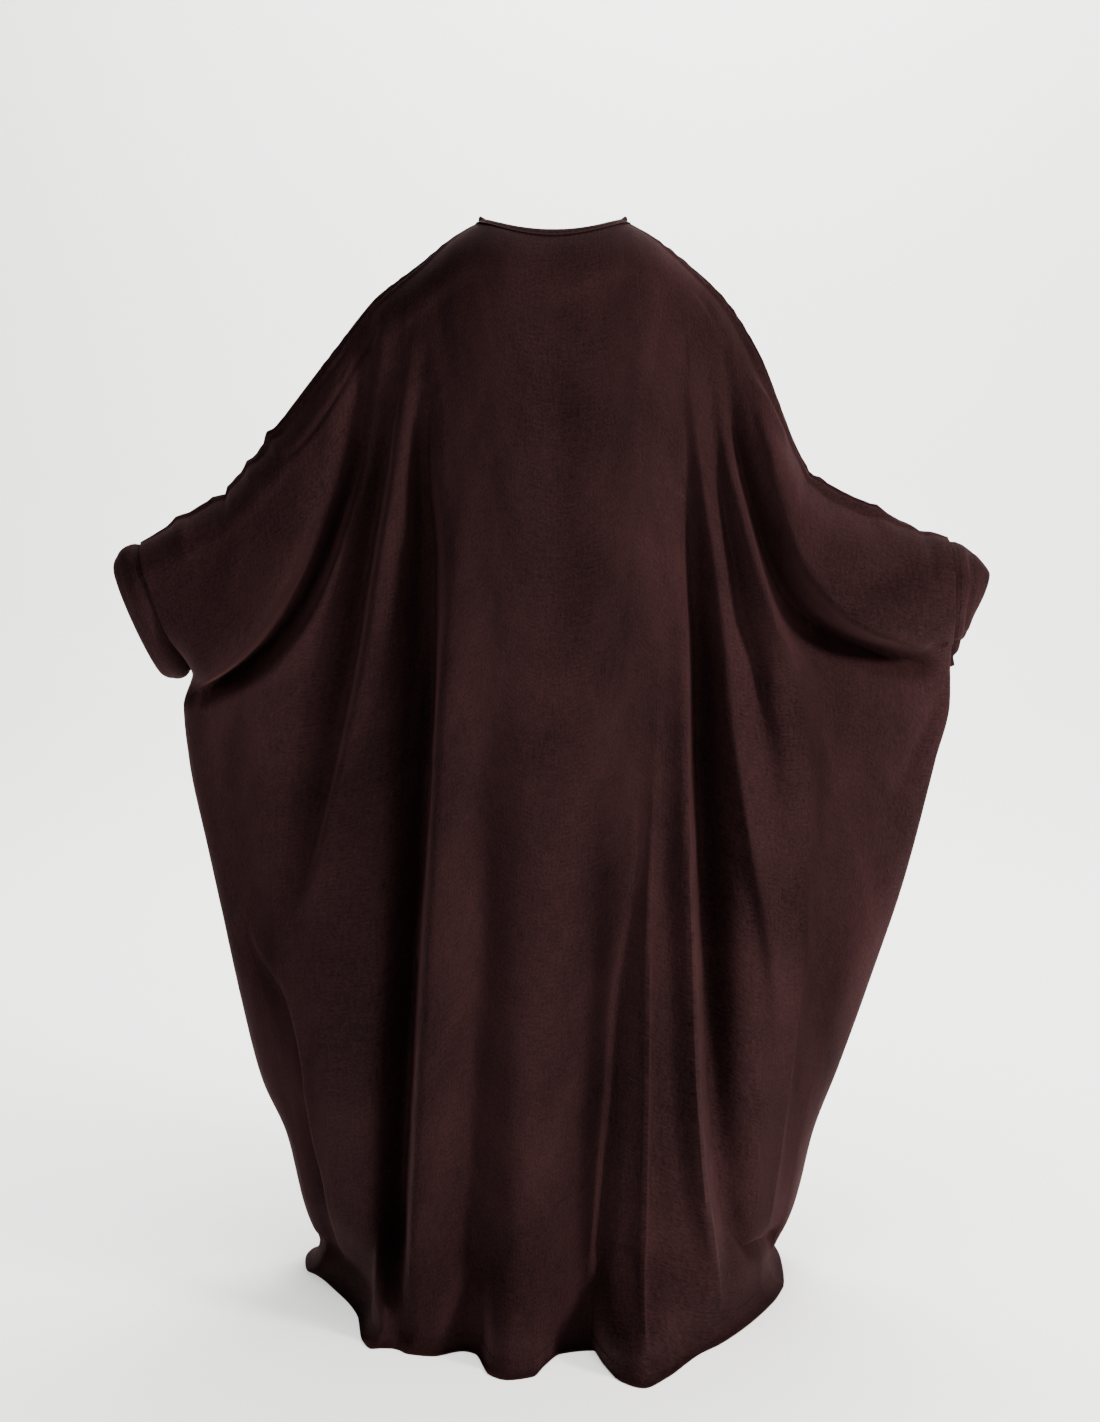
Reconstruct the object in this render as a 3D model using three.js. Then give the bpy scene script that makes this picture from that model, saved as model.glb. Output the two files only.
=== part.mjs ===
// A butterfly abaya in its worn pose, with both sleeves held out and down.
// It is a wide loose dress of plain crepe: a front and a back panel are joined by one long
// seam over each sleeve and one down each side, a straight cuff is sewn round each sleeve
// end, and the neck is bound. Neck, cuffs and hem are open.
// Millimetres. The origin is the middle of the neck base, where the garment is held up.
// +X is the garment's right, +Y its front and +Z is up.
import * as THREE from "three";

// Driving sizes.
const CLOTH = 2; // thickness of the wall that stands for the cloth
const SEAM_GAP = 0.3; // space between two pieces that are sewn together
const FLOOR = -1440; // height of the floor below the neck base
const HEM_BEND = 30; // height above the floor at which the trailing hem turns outwards
const HEM_TRAIL = 22; // flat length of cloth beyond that bend
const NECK_HALF_WIDTH = 96;
const CENTRE_DROP = 100; // height of the first full row below the neck base at the centre

// Stations across a panel, from the neck (across 0.2) to the sleeve end (across 1).
// x and z are the highest line of the sleeve, drop is the height over which the cloth rounds
// the sleeve's top, and seam is how far behind that top the seam lies, in degrees.
// slant moves the cloth sideways over that height.
const LEFT_ARM = [
  { name: "neck", across: 0.2, x: -96, z: 0, drop: 70, seam: 0, slant: 0 },
  { name: "collar", across: 0.3, x: -126, z: -17, drop: 72, seam: 8, slant: 0 },
  { name: "shoulder", across: 0.42, x: -171, z: -52, drop: 74, seam: 24, slant: 0 },
  { name: "deltoid", across: 0.53, x: -229, z: -93, drop: 80, seam: 34, slant: 0 },
  { name: "upper arm", across: 0.63, x: -283, z: -158, drop: 84, seam: 36, slant: 0 },
  { name: "above elbow", across: 0.72, x: -337, z: -230, drop: 78, seam: 30, slant: 0 },
  { name: "elbow", across: 0.8, x: -388, z: -300, drop: 68, seam: 14, slant: 0 },
  { name: "forearm", across: 0.88, x: -453, z: -363, drop: 58, seam: 4, slant: 4 },
  { name: "wrist", across: 0.95, x: -514, z: -400, drop: 52, seam: 0, slant: 9 },
  { name: "sleeve end", across: 1, x: -552, z: -420, drop: 46, seam: 0, slant: 15 },
];
const RIGHT_ARM = [
  { name: "neck", across: 0.2, x: 96, z: 0, drop: 70, seam: 0, slant: 0 },
  { name: "collar", across: 0.3, x: 128, z: -18, drop: 72, seam: 7, slant: 0 },
  { name: "shoulder", across: 0.42, x: 179, z: -58, drop: 74, seam: 20, slant: 0 },
  { name: "deltoid", across: 0.53, x: 226, z: -102, drop: 80, seam: 28, slant: 0 },
  { name: "upper arm", across: 0.63, x: 264, z: -170, drop: 86, seam: 26, slant: 0 },
  { name: "above elbow", across: 0.72, x: 300, z: -250, drop: 82, seam: 16, slant: 0 },
  { name: "elbow", across: 0.8, x: 350, z: -338, drop: 66, seam: 8, slant: 0 },
  { name: "forearm", across: 0.88, x: 412, z: -374, drop: 54, seam: 6, slant: 0 },
  { name: "wrist", across: 0.95, x: 478, z: -398, drop: 50, seam: 4, slant: 1 },
  { name: "sleeve end", across: 1, x: 528, z: -413, drop: 48, seam: 0, slant: 2 },
];

// The side edges from the middle of the sleeve end down to the hem, seen from the back.
// down is the share of the panel's length, and the cuff is sewn on as far as CUFF_FOOT.
// y is how far the edge swings forwards of the sleeves.
const CUFF_FOOT = 0.14;
const LEFT_SIDE = [
  { name: "sleeve end", down: 0, x: -537, z: -466, y: 0 },
  { name: "cuff", down: 0.07, x: -513, z: -530, y: 0 },
  { name: "cuff foot", down: 0.14, x: -486, z: -592, y: 0 },
  { name: "under cuff", down: 0.18, x: -500, z: -640, y: 0 },
  { name: "wing", down: 0.26, x: -494, z: -716, y: 0 },
  { name: "wing middle", down: 0.41, x: -463, z: -868, y: 0 },
  { name: "wing low", down: 0.58, x: -432, z: -1037, y: 4 },
  { name: "shin", down: 0.7, x: -404, z: -1165, y: 12 },
  { name: "ankle", down: 0.79, x: -373, z: -1240, y: 22 },
  { name: "above floor", down: 0.92, x: -352, z: -1350, y: 36 },
  { name: "corner", down: 1, x: -338, z: -1410, y: 44 },
];
const RIGHT_SIDE = [
  { name: "sleeve end", down: 0, x: 530, z: -461, y: 0 },
  { name: "cuff", down: 0.07, x: 532, z: -525, y: 0 },
  { name: "cuff foot", down: 0.14, x: 537, z: -588, y: 0 },
  { name: "under cuff", down: 0.18, x: 538, z: -632, y: 0 },
  { name: "wing", down: 0.27, x: 520, z: -716, y: 0 },
  { name: "wing middle", down: 0.43, x: 481, z: -880, y: 0 },
  { name: "wing low", down: 0.575, x: 437, z: -1023, y: 4 },
  { name: "shin", down: 0.7, x: 396, z: -1150, y: 12 },
  { name: "ankle", down: 0.8, x: 365, z: -1240, y: 22 },
  { name: "above floor", down: 0.92, x: 342, z: -1352, y: 36 },
  { name: "corner", down: 1, x: 312, z: -1410, y: 44 },
];

// Each panel's own sizes. Sections give the cloth's distance from the plane of the sleeves by
// height: middle on the centre line, wing out on the sleeve, half the half width of the
// middle part, and square how abruptly one turns into the other. Folds run along a path of
// x and z, and height is how far the cloth stands out there, below 0 in a trough. left and
// right are the half widths on the two sides of the path, peak sharpens the crest, and lean
// and sag shift it sideways and up (or down, below 0) for each millimetre of height. across
// names the column that runs along a fold.
const BACK = {
  outwards: -1,
  neckDepth: 66,
  neckDrop: 18,
  sections: [
    { z: 0, middle: 66, half: 120, wing: 46, square: 4 },
    { z: -60, middle: 102, half: 150, wing: 48, square: 4 },
    { z: -150, middle: 126, half: 180, wing: 52, square: 4 },
    { z: -300, middle: 140, half: 190, wing: 54, square: 4 },
    { z: -450, middle: 146, half: 196, wing: 56, square: 4 },
    { z: -620, middle: 156, half: 204, wing: 44, square: 4 },
    { z: -800, middle: 174, half: 218, wing: 40, square: 4 },
    { z: -1000, middle: 198, half: 236, wing: 42, square: 4.6 },
    { z: -1200, middle: 222, half: 254, wing: 30, square: 5.2 },
    { z: -1440, middle: 246, half: 262, wing: 10, square: 6 },
  ],
  folds: [
    { name: "left sleeve belly", left: 92, right: 30, peak: 0, lean: 0, sag: -0.45,
      path: [[-226, -150], [-264, -310], [-322, -430], [-394, -518], [-470, -566]],
      height: [8, 28, 44, 50, 34] },
    { name: "left sleeve hollow", left: 30, right: 30, peak: 0, lean: 0, sag: -0.2,
      path: [[-222, -130], [-247, -300], [-292, -430], [-350, -530], [-424, -604], [-490, -650]],
      height: [-8, -30, -42, -44, -40, -20] },
    { name: "left first swag", left: 20, right: 24, peak: 0.2, lean: 0, sag: 0,
      path: [[-204, -140], [-218, -270], [-240, -370], [-280, -460], [-338, -560]],
      height: [4, 14, 20, 18, 6] },
    { name: "left second hollow", across: -0.575, left: 34, right: 14, peak: 0.3, lean: 0, sag: 0,
      path: [[-192, -150], [-202, -330], [-230, -470], [-258, -610], [-290, -760], [-318, -930],
        [-330, -1120], [-316, -1410]],
      height: [-4, -22, -40, -40, -26, -10, 0, 0] },
    { name: "left wide swag", across: -0.4813, left: 24, right: 40, peak: 0.2, lean: -0.2, sag: 0,
      path: [[-180, -220], [-196, -420], [-220, -600], [-248, -780], [-268, -960], [-278, -1150],
        [-274, -1410]],
      height: [4, 20, 30, 26, 20, 16, 6] },
    { name: "left deep hollow", across: -0.3875, left: 36, right: 20, peak: 0, lean: 0, sag: 0,
      path: [[-158, -320], [-164, -520], [-178, -760], [-194, -1000], [-208, -1220], [-236, -1410]],
      height: [-10, -42, -66, -76, -78, -56] },
    { name: "left edge ridge", across: -0.2938, left: 15, right: 52, peak: 0.5, lean: -0.3, sag: 0,
      path: [[-118, -380], [-134, -560], [-154, -790], [-168, -1020], [-176, -1250], [-188, -1410]],
      height: [4, 20, 34, 40, 42, 34] },
    { name: "left floor lobe", left: 50, right: 62, peak: 0, lean: 0, sag: 0,
      path: [[-176, -1290], [-180, -1440]],
      height: [0, 40] },
    { name: "centre soft hollow", across: -0.2, left: 24, right: 26, peak: 0, lean: 0, sag: 0,
      path: [[-70, -620], [-84, -900], [-92, -1180], [-97, -1410]],
      height: [-4, -14, -18, -26] },
    { name: "centre lobe", across: -0.1, left: 44, right: 44, peak: 0, lean: 0, sag: 0,
      path: [[-24, -700], [-36, -1000], [-48, -1260], [-54, -1410]],
      height: [4, 12, 26, 82] },
    { name: "between the lobes", left: 26, right: 26, peak: 0, lean: 0, sag: 0,
      path: [[20, -1150], [26, -1410]],
      height: [0, -16] },
    { name: "right crease", across: 0.2, left: 26, right: 14, peak: 0.2, lean: 0, sag: 0,
      path: [[128, -600], [106, -900], [90, -1120], [66, -1410]],
      height: [-4, -26, -34, -20] },
    { name: "right sharp ridge", across: 0.2938, left: 20, right: 44, peak: 0.4, lean: 0, sag: 0,
      path: [[160, -560], [144, -800], [134, -1000], [127, -1213], [112, -1410]],
      height: [4, 24, 32, 40, 44] },
    { name: "right floor lobe", left: 50, right: 50, peak: 0, lean: 0, sag: 0,
      path: [[118, -1240], [94, -1430]],
      height: [0, 80] },
    { name: "right outer ridge", across: 0.3875, left: 30, right: 16, peak: 0.5, lean: 0.2, sag: 0,
      path: [[184, -480], [192, -790], [202, -1040], [214, -1210], [232, -1410]],
      height: [4, 26, 32, 30, 6] },
    { name: "right deep hollow", across: 0.4813, left: 18, right: 30, peak: 0, lean: 0, sag: 0,
      path: [[198, -330], [214, -560], [228, -800], [242, -1020], [252, -1220], [268, -1410]],
      height: [-8, -40, -60, -62, -50, -10] },
    { name: "right swag", across: 0.575, left: 22, right: 46, peak: 0.2, lean: 0, sag: 0,
      path: [[200, -150], [212, -300], [228, -500], [252, -690], [276, -860], [296, -1040],
        [304, -1220], [306, -1410]],
      height: [4, 18, 26, 30, 26, 18, 10, 0] },
    { name: "right sleeve hollow", left: 24, right: 20, peak: 0.2, lean: 0, sag: -0.2,
      path: [[214, -160], [240, -290], [276, -430], [318, -508], [380, -566], [480, -612]],
      height: [-6, -26, -42, -46, -44, -26] },
    { name: "right sleeve belly", left: 26, right: 84, peak: 0, lean: 0, sag: -0.45,
      path: [[216, -150], [254, -290], [300, -400], [350, -462], [420, -514], [490, -540]],
      height: [8, 24, 38, 42, 38, 26] },
    { name: "under right forearm", left: 20, right: 20, peak: 0, lean: 0, sag: 0,
      path: [[322, -372], [367, -424], [421, -452], [480, -444]],
      height: [-6, -14, -14, -6] },
    { name: "between the shoulders", left: 42, right: 42, peak: 0, lean: 0, sag: 0,
      path: [[0, -120], [4, -300], [8, -520]],
      height: [-6, -12, -4] },
  ],
};
const FRONT = {
  outwards: 1,
  neckDepth: 72,
  neckDrop: 88,
  sections: [
    { z: 0, middle: 60, half: 120, wing: 44, square: 4 },
    { z: -60, middle: 66, half: 150, wing: 46, square: 4 },
    { z: -150, middle: 100, half: 176, wing: 50, square: 4 },
    { z: -270, middle: 132, half: 184, wing: 52, square: 4 },
    { z: -450, middle: 130, half: 190, wing: 52, square: 4 },
    { z: -620, middle: 132, half: 200, wing: 42, square: 4 },
    { z: -800, middle: 142, half: 214, wing: 38, square: 4 },
    { z: -1000, middle: 158, half: 232, wing: 40, square: 4.6 },
    { z: -1200, middle: 178, half: 240, wing: 26, square: 4.6 },
    { z: -1440, middle: 200, half: 244, wing: 4, square: 5 },
  ],
  folds: [
    { name: "left sleeve belly", left: 84, right: 30, peak: 0, lean: 0, sag: -0.4,
      path: [[-222, -170], [-272, -330], [-336, -450], [-410, -528], [-470, -560]],
      height: [8, 24, 36, 38, 24] },
    { name: "left sleeve hollow", left: 22, right: 26, peak: 0.1, lean: 0, sag: -0.2,
      path: [[-212, -180], [-256, -360], [-312, -490], [-384, -580], [-460, -630]],
      height: [-8, -30, -38, -36, -20] },
    { name: "left swag", across: -0.3875, left: 24, right: 34, peak: 0.2, lean: 0, sag: 0,
      path: [[-176, -210], [-204, -460], [-240, -740], [-262, -1000], [-266, -1400]],
      height: [5, 22, 28, 22, 8] },
    { name: "left hollow", across: -0.2938, left: 28, right: 24, peak: 0, lean: 0, sag: 0,
      path: [[-130, -330], [-148, -640], [-176, -960], [-204, -1400]],
      height: [-6, -30, -42, -44] },
    { name: "left front ridge", across: -0.2, left: 22, right: 34, peak: 0.4, lean: -0.1, sag: 0,
      path: [[-82, -340], [-96, -720], [-116, -1060], [-140, -1410]],
      height: [5, 22, 34, 66] },
    { name: "left centre hollow", across: -0.1, left: 24, right: 22, peak: 0, lean: 0, sag: 0,
      path: [[-40, -480], [-48, -880], [-64, -1400]],
      height: [-4, -20, -34] },
    { name: "centre ridge", across: 0, left: 28, right: 26, peak: 0.2, lean: 0, sag: 0,
      path: [[6, -420], [10, -820], [16, -1120], [20, -1410]],
      height: [4, 16, 26, 64] },
    { name: "right centre hollow", across: 0.1, left: 24, right: 20, peak: 0, lean: 0, sag: 0,
      path: [[56, -430], [66, -820], [82, -1400]],
      height: [-5, -24, -34] },
    { name: "right front ridge", across: 0.2, left: 30, right: 20, peak: 0.5, lean: 0.1, sag: 0,
      path: [[98, -360], [116, -740], [138, -1080], [158, -1410]],
      height: [5, 26, 36, 70] },
    { name: "right hollow", across: 0.2938, left: 22, right: 30, peak: 0, lean: 0, sag: 0,
      path: [[140, -300], [168, -640], [196, -980], [222, -1400]],
      height: [-6, -34, -44, -42] },
    { name: "right swag", across: 0.3875, left: 30, right: 28, peak: 0.2, lean: 0, sag: 0,
      path: [[178, -210], [214, -480], [248, -800], [264, -1080], [266, -1400]],
      height: [5, 24, 28, 20, 8] },
    { name: "right sleeve hollow", left: 24, right: 22, peak: 0.1, lean: 0, sag: -0.2,
      path: [[216, -190], [256, -370], [318, -500], [400, -580], [480, -612]],
      height: [-8, -30, -40, -36, -20] },
    { name: "right sleeve belly", left: 28, right: 80, peak: 0, lean: 0, sag: -0.4,
      path: [[226, -180], [276, -350], [342, -460], [424, -520], [490, -540]],
      height: [8, 26, 36, 36, 22] },
  ],
};

// Both cuffs run from the sleeve end to a free edge, seen from the back. top and foot are
// the two ends of that edge and depth is how far it stands out to the front and the back.
const LEFT_CUFF = { topX: -590, topZ: -455, footX: -528, footZ: -598, depth: 36 };
const RIGHT_CUFF = { topX: 586, topZ: -460, footX: 560, footZ: -522, depth: 32 };
const CUFF_RINGS = 5;

const BINDING_HEIGHT = 9;
const BINDING_THICK = 3.4;

const radians = (degrees) => (degrees * Math.PI) / 180;

// How finely the panels are divided.
const NECK_EDGE = 0.2; // share of a panel's half width that the neck takes
const SIDE_ROUND = 0.05; // share of a panel's half width that rounds into the side seam
const NECK_FALL = radians(80); // turn of the neck edge from the shoulder to the middle
const NECK_START = 34; // slope of the cloth at the middle of the neck edge, in degrees
const FOLLOW_FROM = 400; // distances below the neck base between which columns turn along folds
const FOLLOW_FULL = 700;
const NECK_COLUMNS = 4;
const PANEL_COLUMNS = 16;
const SIDE_COLUMNS = 3;
const ARM_ROWS = 4;
const BODY_ROWS = 25;
const HEM_ROWS = [
  { name: "bend", out: 0.25, above: 11 },
  { name: "lying", out: 0.62, above: 2.4 },
  { name: "edge", out: 1, above: 1.2 },
];

const mix = (a, b, t) => a + (b - a) * t;
const clamp = (value) => Math.min(1, Math.max(0, value));

// One column of a table, read smoothly between its rows.
function column(rows, by, name, at) {
  const rising = rows[rows.length - 1][by] > rows[0][by];
  const key = (i) => (rising ? rows[i][by] : -rows[i][by]);
  const here = rising ? at : -at;
  const last = rows.length - 1;
  if (here <= key(0)) {
    return rows[0][name];
  }
  if (here >= key(last)) {
    return rows[last][name];
  }
  let i = 0;
  while (key(i + 1) < here) {
    i += 1;
  }
  const step = (a, b) => (rows[b][name] - rows[a][name]) / (key(b) - key(a));
  const slope = (k) => {
    if (k === 0) {
      return step(0, 1);
    }
    if (k === last) {
      return step(last - 1, last);
    }
    const before = step(k - 1, k);
    const after = step(k, k + 1);
    return before * after <= 0 ? 0 : (2 * before * after) / (before + after);
  };
  const width = key(i + 1) - key(i);
  const t = (here - key(i)) / width;
  const a = rows[i][name];
  const b = rows[i + 1][name];
  return (
    a * (1 + 2 * t) * (1 - t) ** 2 +
    slope(i) * width * t * (1 - t) ** 2 +
    b * t * t * (3 - 2 * t) +
    slope(i + 1) * width * t * t * (t - 1)
  );
}

// A fold's path as short straight runs, with its height at each end of a run.
function runsOf(fold) {
  const points = fold.path.map(([x, z], i) => ({
    at: i / (fold.path.length - 1), x, z,
  }));
  const heights = fold.height.map((value, i) => ({
    at: i / (fold.height.length - 1), value,
  }));
  const runs = [];
  for (let i = 0; i <= 20; i += 1) {
    const at = i / 20;
    runs.push({
      x: column(points, "at", "x", at),
      z: column(points, "at", "z", at),
      height: column(heights, "at", "value", at),
    });
  }
  return runs;
}

// How far one fold lifts the cloth at x and z.
function liftOf(fold, x, z) {
  let best = { distance: Infinity, side: 1, height: 0 };
  for (let i = 0; i < fold.runs.length - 1; i += 1) {
    const a = fold.runs[i];
    const b = fold.runs[i + 1];
    const dx = b.x - a.x;
    const dz = b.z - a.z;
    const t = clamp(((x - a.x) * dx + (z - a.z) * dz) / (dx * dx + dz * dz));
    const distance = Math.hypot(x - a.x - dx * t, z - a.z - dz * t);
    if (distance < best.distance) {
      best = {
        distance,
        side: dz * (x - a.x) - dx * (z - a.z) < 0 ? 1 : -1,
        height: mix(a.height, b.height, t),
      };
    }
  }
  const t = best.distance / (best.side > 0 ? fold.right : fold.left);
  const round = Math.exp(-t * t);
  const sharp = Math.exp(-1.3 * (Math.sqrt(t * t + 0.04) - 0.2));
  return best.height * mix(round, sharp, fold.peak);
}

// Distance of a panel from the plane of the sleeves, with the shift of its leaning folds.
function hang(panel, x, z) {
  const middle = column(panel.sections, "z", "middle", z);
  const half = column(panel.sections, "z", "half", z);
  const wing = column(panel.sections, "z", "wing", z);
  const square = column(panel.sections, "z", "square", z);
  const body = (middle - wing) / (1 + Math.abs(x / half) ** square);
  const place = { depth: wing + body, x: 0, z: 0 };
  for (const fold of panel.folds) {
    const lift = liftOf(fold, x, z);
    place.depth += lift;
    place.x += fold.lean * lift;
    place.z += fold.sag * lift;
  }
  return place;
}

for (const panel of [BACK, FRONT]) {
  for (const fold of panel.folds) {
    fold.runs = runsOf(fold);
  }
  panel.guides = panel.folds
    .filter((fold) => fold.across !== undefined)
    .sort((a, b) => a.across - b.across);
}

// Columns from one sleeve end to the other, and rows from the top edge to the hem.
function columnsAcross() {
  const half = [];
  for (let i = 1; i <= NECK_COLUMNS; i += 1) {
    half.push((NECK_EDGE * i) / NECK_COLUMNS);
  }
  const flat = 1 - SIDE_ROUND;
  for (let i = 1; i <= PANEL_COLUMNS; i += 1) {
    half.push(mix(NECK_EDGE, flat, i / PANEL_COLUMNS));
  }
  for (let i = 1; i <= SIDE_COLUMNS; i += 1) {
    half.push(flat + SIDE_ROUND * Math.sin(radians((90 * i) / SIDE_COLUMNS)));
  }
  return [...half.map((value) => -value).reverse(), 0, ...half];
}
function rowsDown() {
  const rows = [];
  for (let i = 0; i < ARM_ROWS; i += 1) {
    rows.push({ arm: i / ARM_ROWS, down: 0, hem: 0 });
  }
  const beside = 5;
  for (let i = 0; i <= beside; i += 1) {
    rows.push({ arm: 1, down: (CUFF_FOOT * i) / beside, hem: 0 });
  }
  const below = BODY_ROWS - beside;
  for (let i = 1; i <= below; i += 1) {
    rows.push({ arm: 1, down: mix(CUFF_FOOT, 1, (i / below) ** 1.1), hem: 0 });
  }
  HEM_ROWS.forEach((row, i) => rows.push({ arm: 1, down: 1, hem: i + 1 }));
  return rows;
}
const ACROSS = columnsAcross();
const DOWN = rowsDown();

// How far a column moves sideways so that it runs along the folds that name a column.
function followed(panel, across, down, z) {
  const strength = clamp((-FOLLOW_FROM - z) / (FOLLOW_FULL - FOLLOW_FROM));
  if (strength === 0) {
    return 0;
  }
  const rows = [{ across: -1, x: 0 }];
  for (const fold of panel.guides) {
    const plain = plainX(fold.across, down);
    rows.push({ across: fold.across, x: column(fold.runs, "z", "x", z) - plain });
  }
  rows.push({ across: 1, x: 0 });
  return strength * strength * (3 - 2 * strength) * column(rows, "across", "x", across);
}

// Where a column would lie if it ran evenly from the top edge to the hem.
function plainX(across, down) {
  const side = across < 0 ? -1 : 1;
  const out = Math.abs(across);
  const arm = side < 0 ? LEFT_ARM : RIGHT_ARM;
  const edge = side < 0 ? LEFT_SIDE : RIGHT_SIDE;
  const turn = radians((90 * Math.min(out, NECK_EDGE)) / NECK_EDGE);
  const top = out < NECK_EDGE
    ? side * NECK_HALF_WIDTH * Math.sin(turn)
    : column(arm, "across", "x", out) + column(arm, "across", "slant", out);
  const last = edge[edge.length - 1];
  const sideX = (column(edge, "down", "x", down) - edge[0].x) / (last.x - edge[0].x);
  return mix(top, last.x * out, mix(down, sideX, out ** 2));
}

// Where the middle of a panel's cloth lies at one column and row.
function clothAt(panel, across, row) {
  const side = across < 0 ? -1 : 1;
  const out = Math.abs(across);
  const arm = side < 0 ? LEFT_ARM : RIGHT_ARM;
  const edge = side < 0 ? LEFT_SIDE : RIGHT_SIDE;
  const inNeck = out < NECK_EDGE;
  const turn = inNeck ? radians((90 * out) / NECK_EDGE) : Math.PI / 2;
  const topX = inNeck
    ? side * NECK_HALF_WIDTH * Math.sin(turn)
    : column(arm, "across", "x", out);
  const fallen = NECK_FALL * Math.cos(turn);
  const topZ = inNeck
    ? -panel.neckDrop * ((1 - Math.cos(fallen)) / (1 - Math.cos(NECK_FALL))) ** 1.3
    : column(arm, "across", "z", out);
  const fullDrop = inNeck
    ? mix(CENTRE_DROP - panel.neckDrop * 0.4, arm[0].drop, Math.sin(turn))
    : column(arm, "across", "drop", out);
  const seam = inNeck ? 0 : column(arm, "across", "seam", out);
  const slant = inNeck ? 0 : column(arm, "across", "slant", out);

  // The side edge in shares of the way from the sleeve end to the corner of the hem.
  const last = edge[edge.length - 1];
  const sideZ = (column(edge, "down", "z", row.down) - edge[0].z) / (last.z - edge[0].z);
  const z = mix(topZ - fullDrop, FLOOR + HEM_BEND, mix(row.down, sideZ, out ** 2));
  const x = plainX(across, row.down) + followed(panel, across, row.down, z);

  // The side seam closes the panels below the cuff, and beside it the sleeve stays open.
  const near = clamp((out - (1 - SIDE_ROUND)) / SIDE_ROUND);
  const closing = Math.sqrt(Math.max(0, 1 - near * near));
  const open = Math.cos((clamp(row.down / CUFF_FOOT) * Math.PI) / 2);
  const ring = row.down < CUFF_FOOT ? mix(open, 1, closing) : closing;

  if (row.arm < 1) {
    const from = hang(panel, x, topZ - fullDrop);
    const full = from.depth;
    if (inNeck) {
      const start = radians(NECK_START) * Math.cos(turn);
      const angle = mix(start, Math.PI / 2, row.arm);
      const rise = (Math.sin(angle) - Math.sin(start)) / (1 - Math.sin(start));
      const fall = (Math.cos(start) - Math.cos(angle)) / Math.cos(start);
      const edgeDepth = (panel.neckDepth * Math.sin(fallen)) / Math.sin(NECK_FALL);
      return new THREE.Vector3(
        topX + from.x * rise,
        panel.outwards * mix(edgeDepth, full, rise),
        topZ - fullDrop * fall + from.z * rise,
      );
    }
    const start = radians(panel.outwards < 0 ? seam : -seam);
    const angle = mix(start, Math.PI / 2, row.arm);
    const back = hang(BACK, x, topZ - fullDrop).depth;
    const reach = angle < 0 ? -Math.abs(back) : Math.abs(full);
    const depth = reach * Math.abs(Math.sin(angle));
    const shift = clamp(Math.sin(angle));
    return new THREE.Vector3(
      topX + slant * (1 - Math.cos(angle)) + from.x * shift,
      panel.outwards * depth,
      topZ - fullDrop * (1 - Math.cos(angle)) + from.z * shift,
    );
  }
  const place = hang(panel, x, z);
  const hem = row.hem > 0 ? HEM_ROWS[row.hem - 1] : null;
  const point = new THREE.Vector3(
    x + place.x * ring,
    column(edge, "down", "y", row.down) * out ** 3 + panel.outwards * place.depth * ring,
    Math.max(FLOOR + HEM_BEND, z + place.z * ring),
  );
  if (hem) {
    const level = new THREE.Vector3(point.x, point.y, 0).normalize();
    point.addScaledVector(level, HEM_TRAIL * hem.out);
    point.z = FLOOR + hem.above;
  }
  return point;
}

function panelGrid(panel) {
  return ACROSS.map((across) => DOWN.map((row) => clothAt(panel, across, row)));
}

// Outward normals of a grid of points, pointing away from the hollow.
function normalsOf(grid, outwards) {
  const wide = grid.length;
  const tall = grid[0].length;
  return grid.map((line, i) =>
    line.map((point, j) => {
      const right = grid[Math.min(wide - 1, i + 1)][j];
      const left = grid[Math.max(0, i - 1)][j];
      const low = line[Math.min(tall - 1, j + 1)];
      const high = line[Math.max(0, j - 1)];
      const acrossways = new THREE.Vector3().subVectors(right, left);
      const downways = new THREE.Vector3().subVectors(low, high);
      return acrossways.cross(downways).multiplyScalar(outwards).normalize();
    }),
  );
}

// A closed wall from two grids of points, the outer face and the inner one.
function wall(outer, inner, round) {
  const wide = outer.length;
  const tall = outer[0].length;
  const positions = [];
  for (const grid of [outer, inner]) {
    for (const line of grid) {
      for (const point of line) {
        positions.push(point.x, point.y, point.z);
      }
    }
  }
  const at = (face, i, j) => face * wide * tall + (i % wide) * tall + j;
  const faces = [];
  const quad = (a, b, c, d) => faces.push(a, b, c, a, c, d);
  const spans = round ? wide : wide - 1;
  for (let i = 0; i < spans; i += 1) {
    for (let j = 0; j < tall - 1; j += 1) {
      quad(at(0, i, j), at(0, i, j + 1), at(0, i + 1, j + 1), at(0, i + 1, j));
      quad(at(1, i, j), at(1, i + 1, j), at(1, i + 1, j + 1), at(1, i, j + 1));
    }
    quad(at(0, i, 0), at(0, i + 1, 0), at(1, i + 1, 0), at(1, i, 0));
    quad(at(0, i, tall - 1), at(1, i, tall - 1), at(1, i + 1, tall - 1), at(0, i + 1, tall - 1));
  }
  if (!round) {
    for (let j = 0; j < tall - 1; j += 1) {
      quad(at(0, 0, j), at(1, 0, j), at(1, 0, j + 1), at(0, 0, j + 1));
      quad(at(0, wide - 1, j), at(0, wide - 1, j + 1), at(1, wide - 1, j + 1), at(1, wide - 1, j));
    }
  }
  const geometry = new THREE.BufferGeometry();
  geometry.setAttribute("position", new THREE.Float32BufferAttribute(positions, 3));
  geometry.setIndex(faces);
  return geometry;
}

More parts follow.
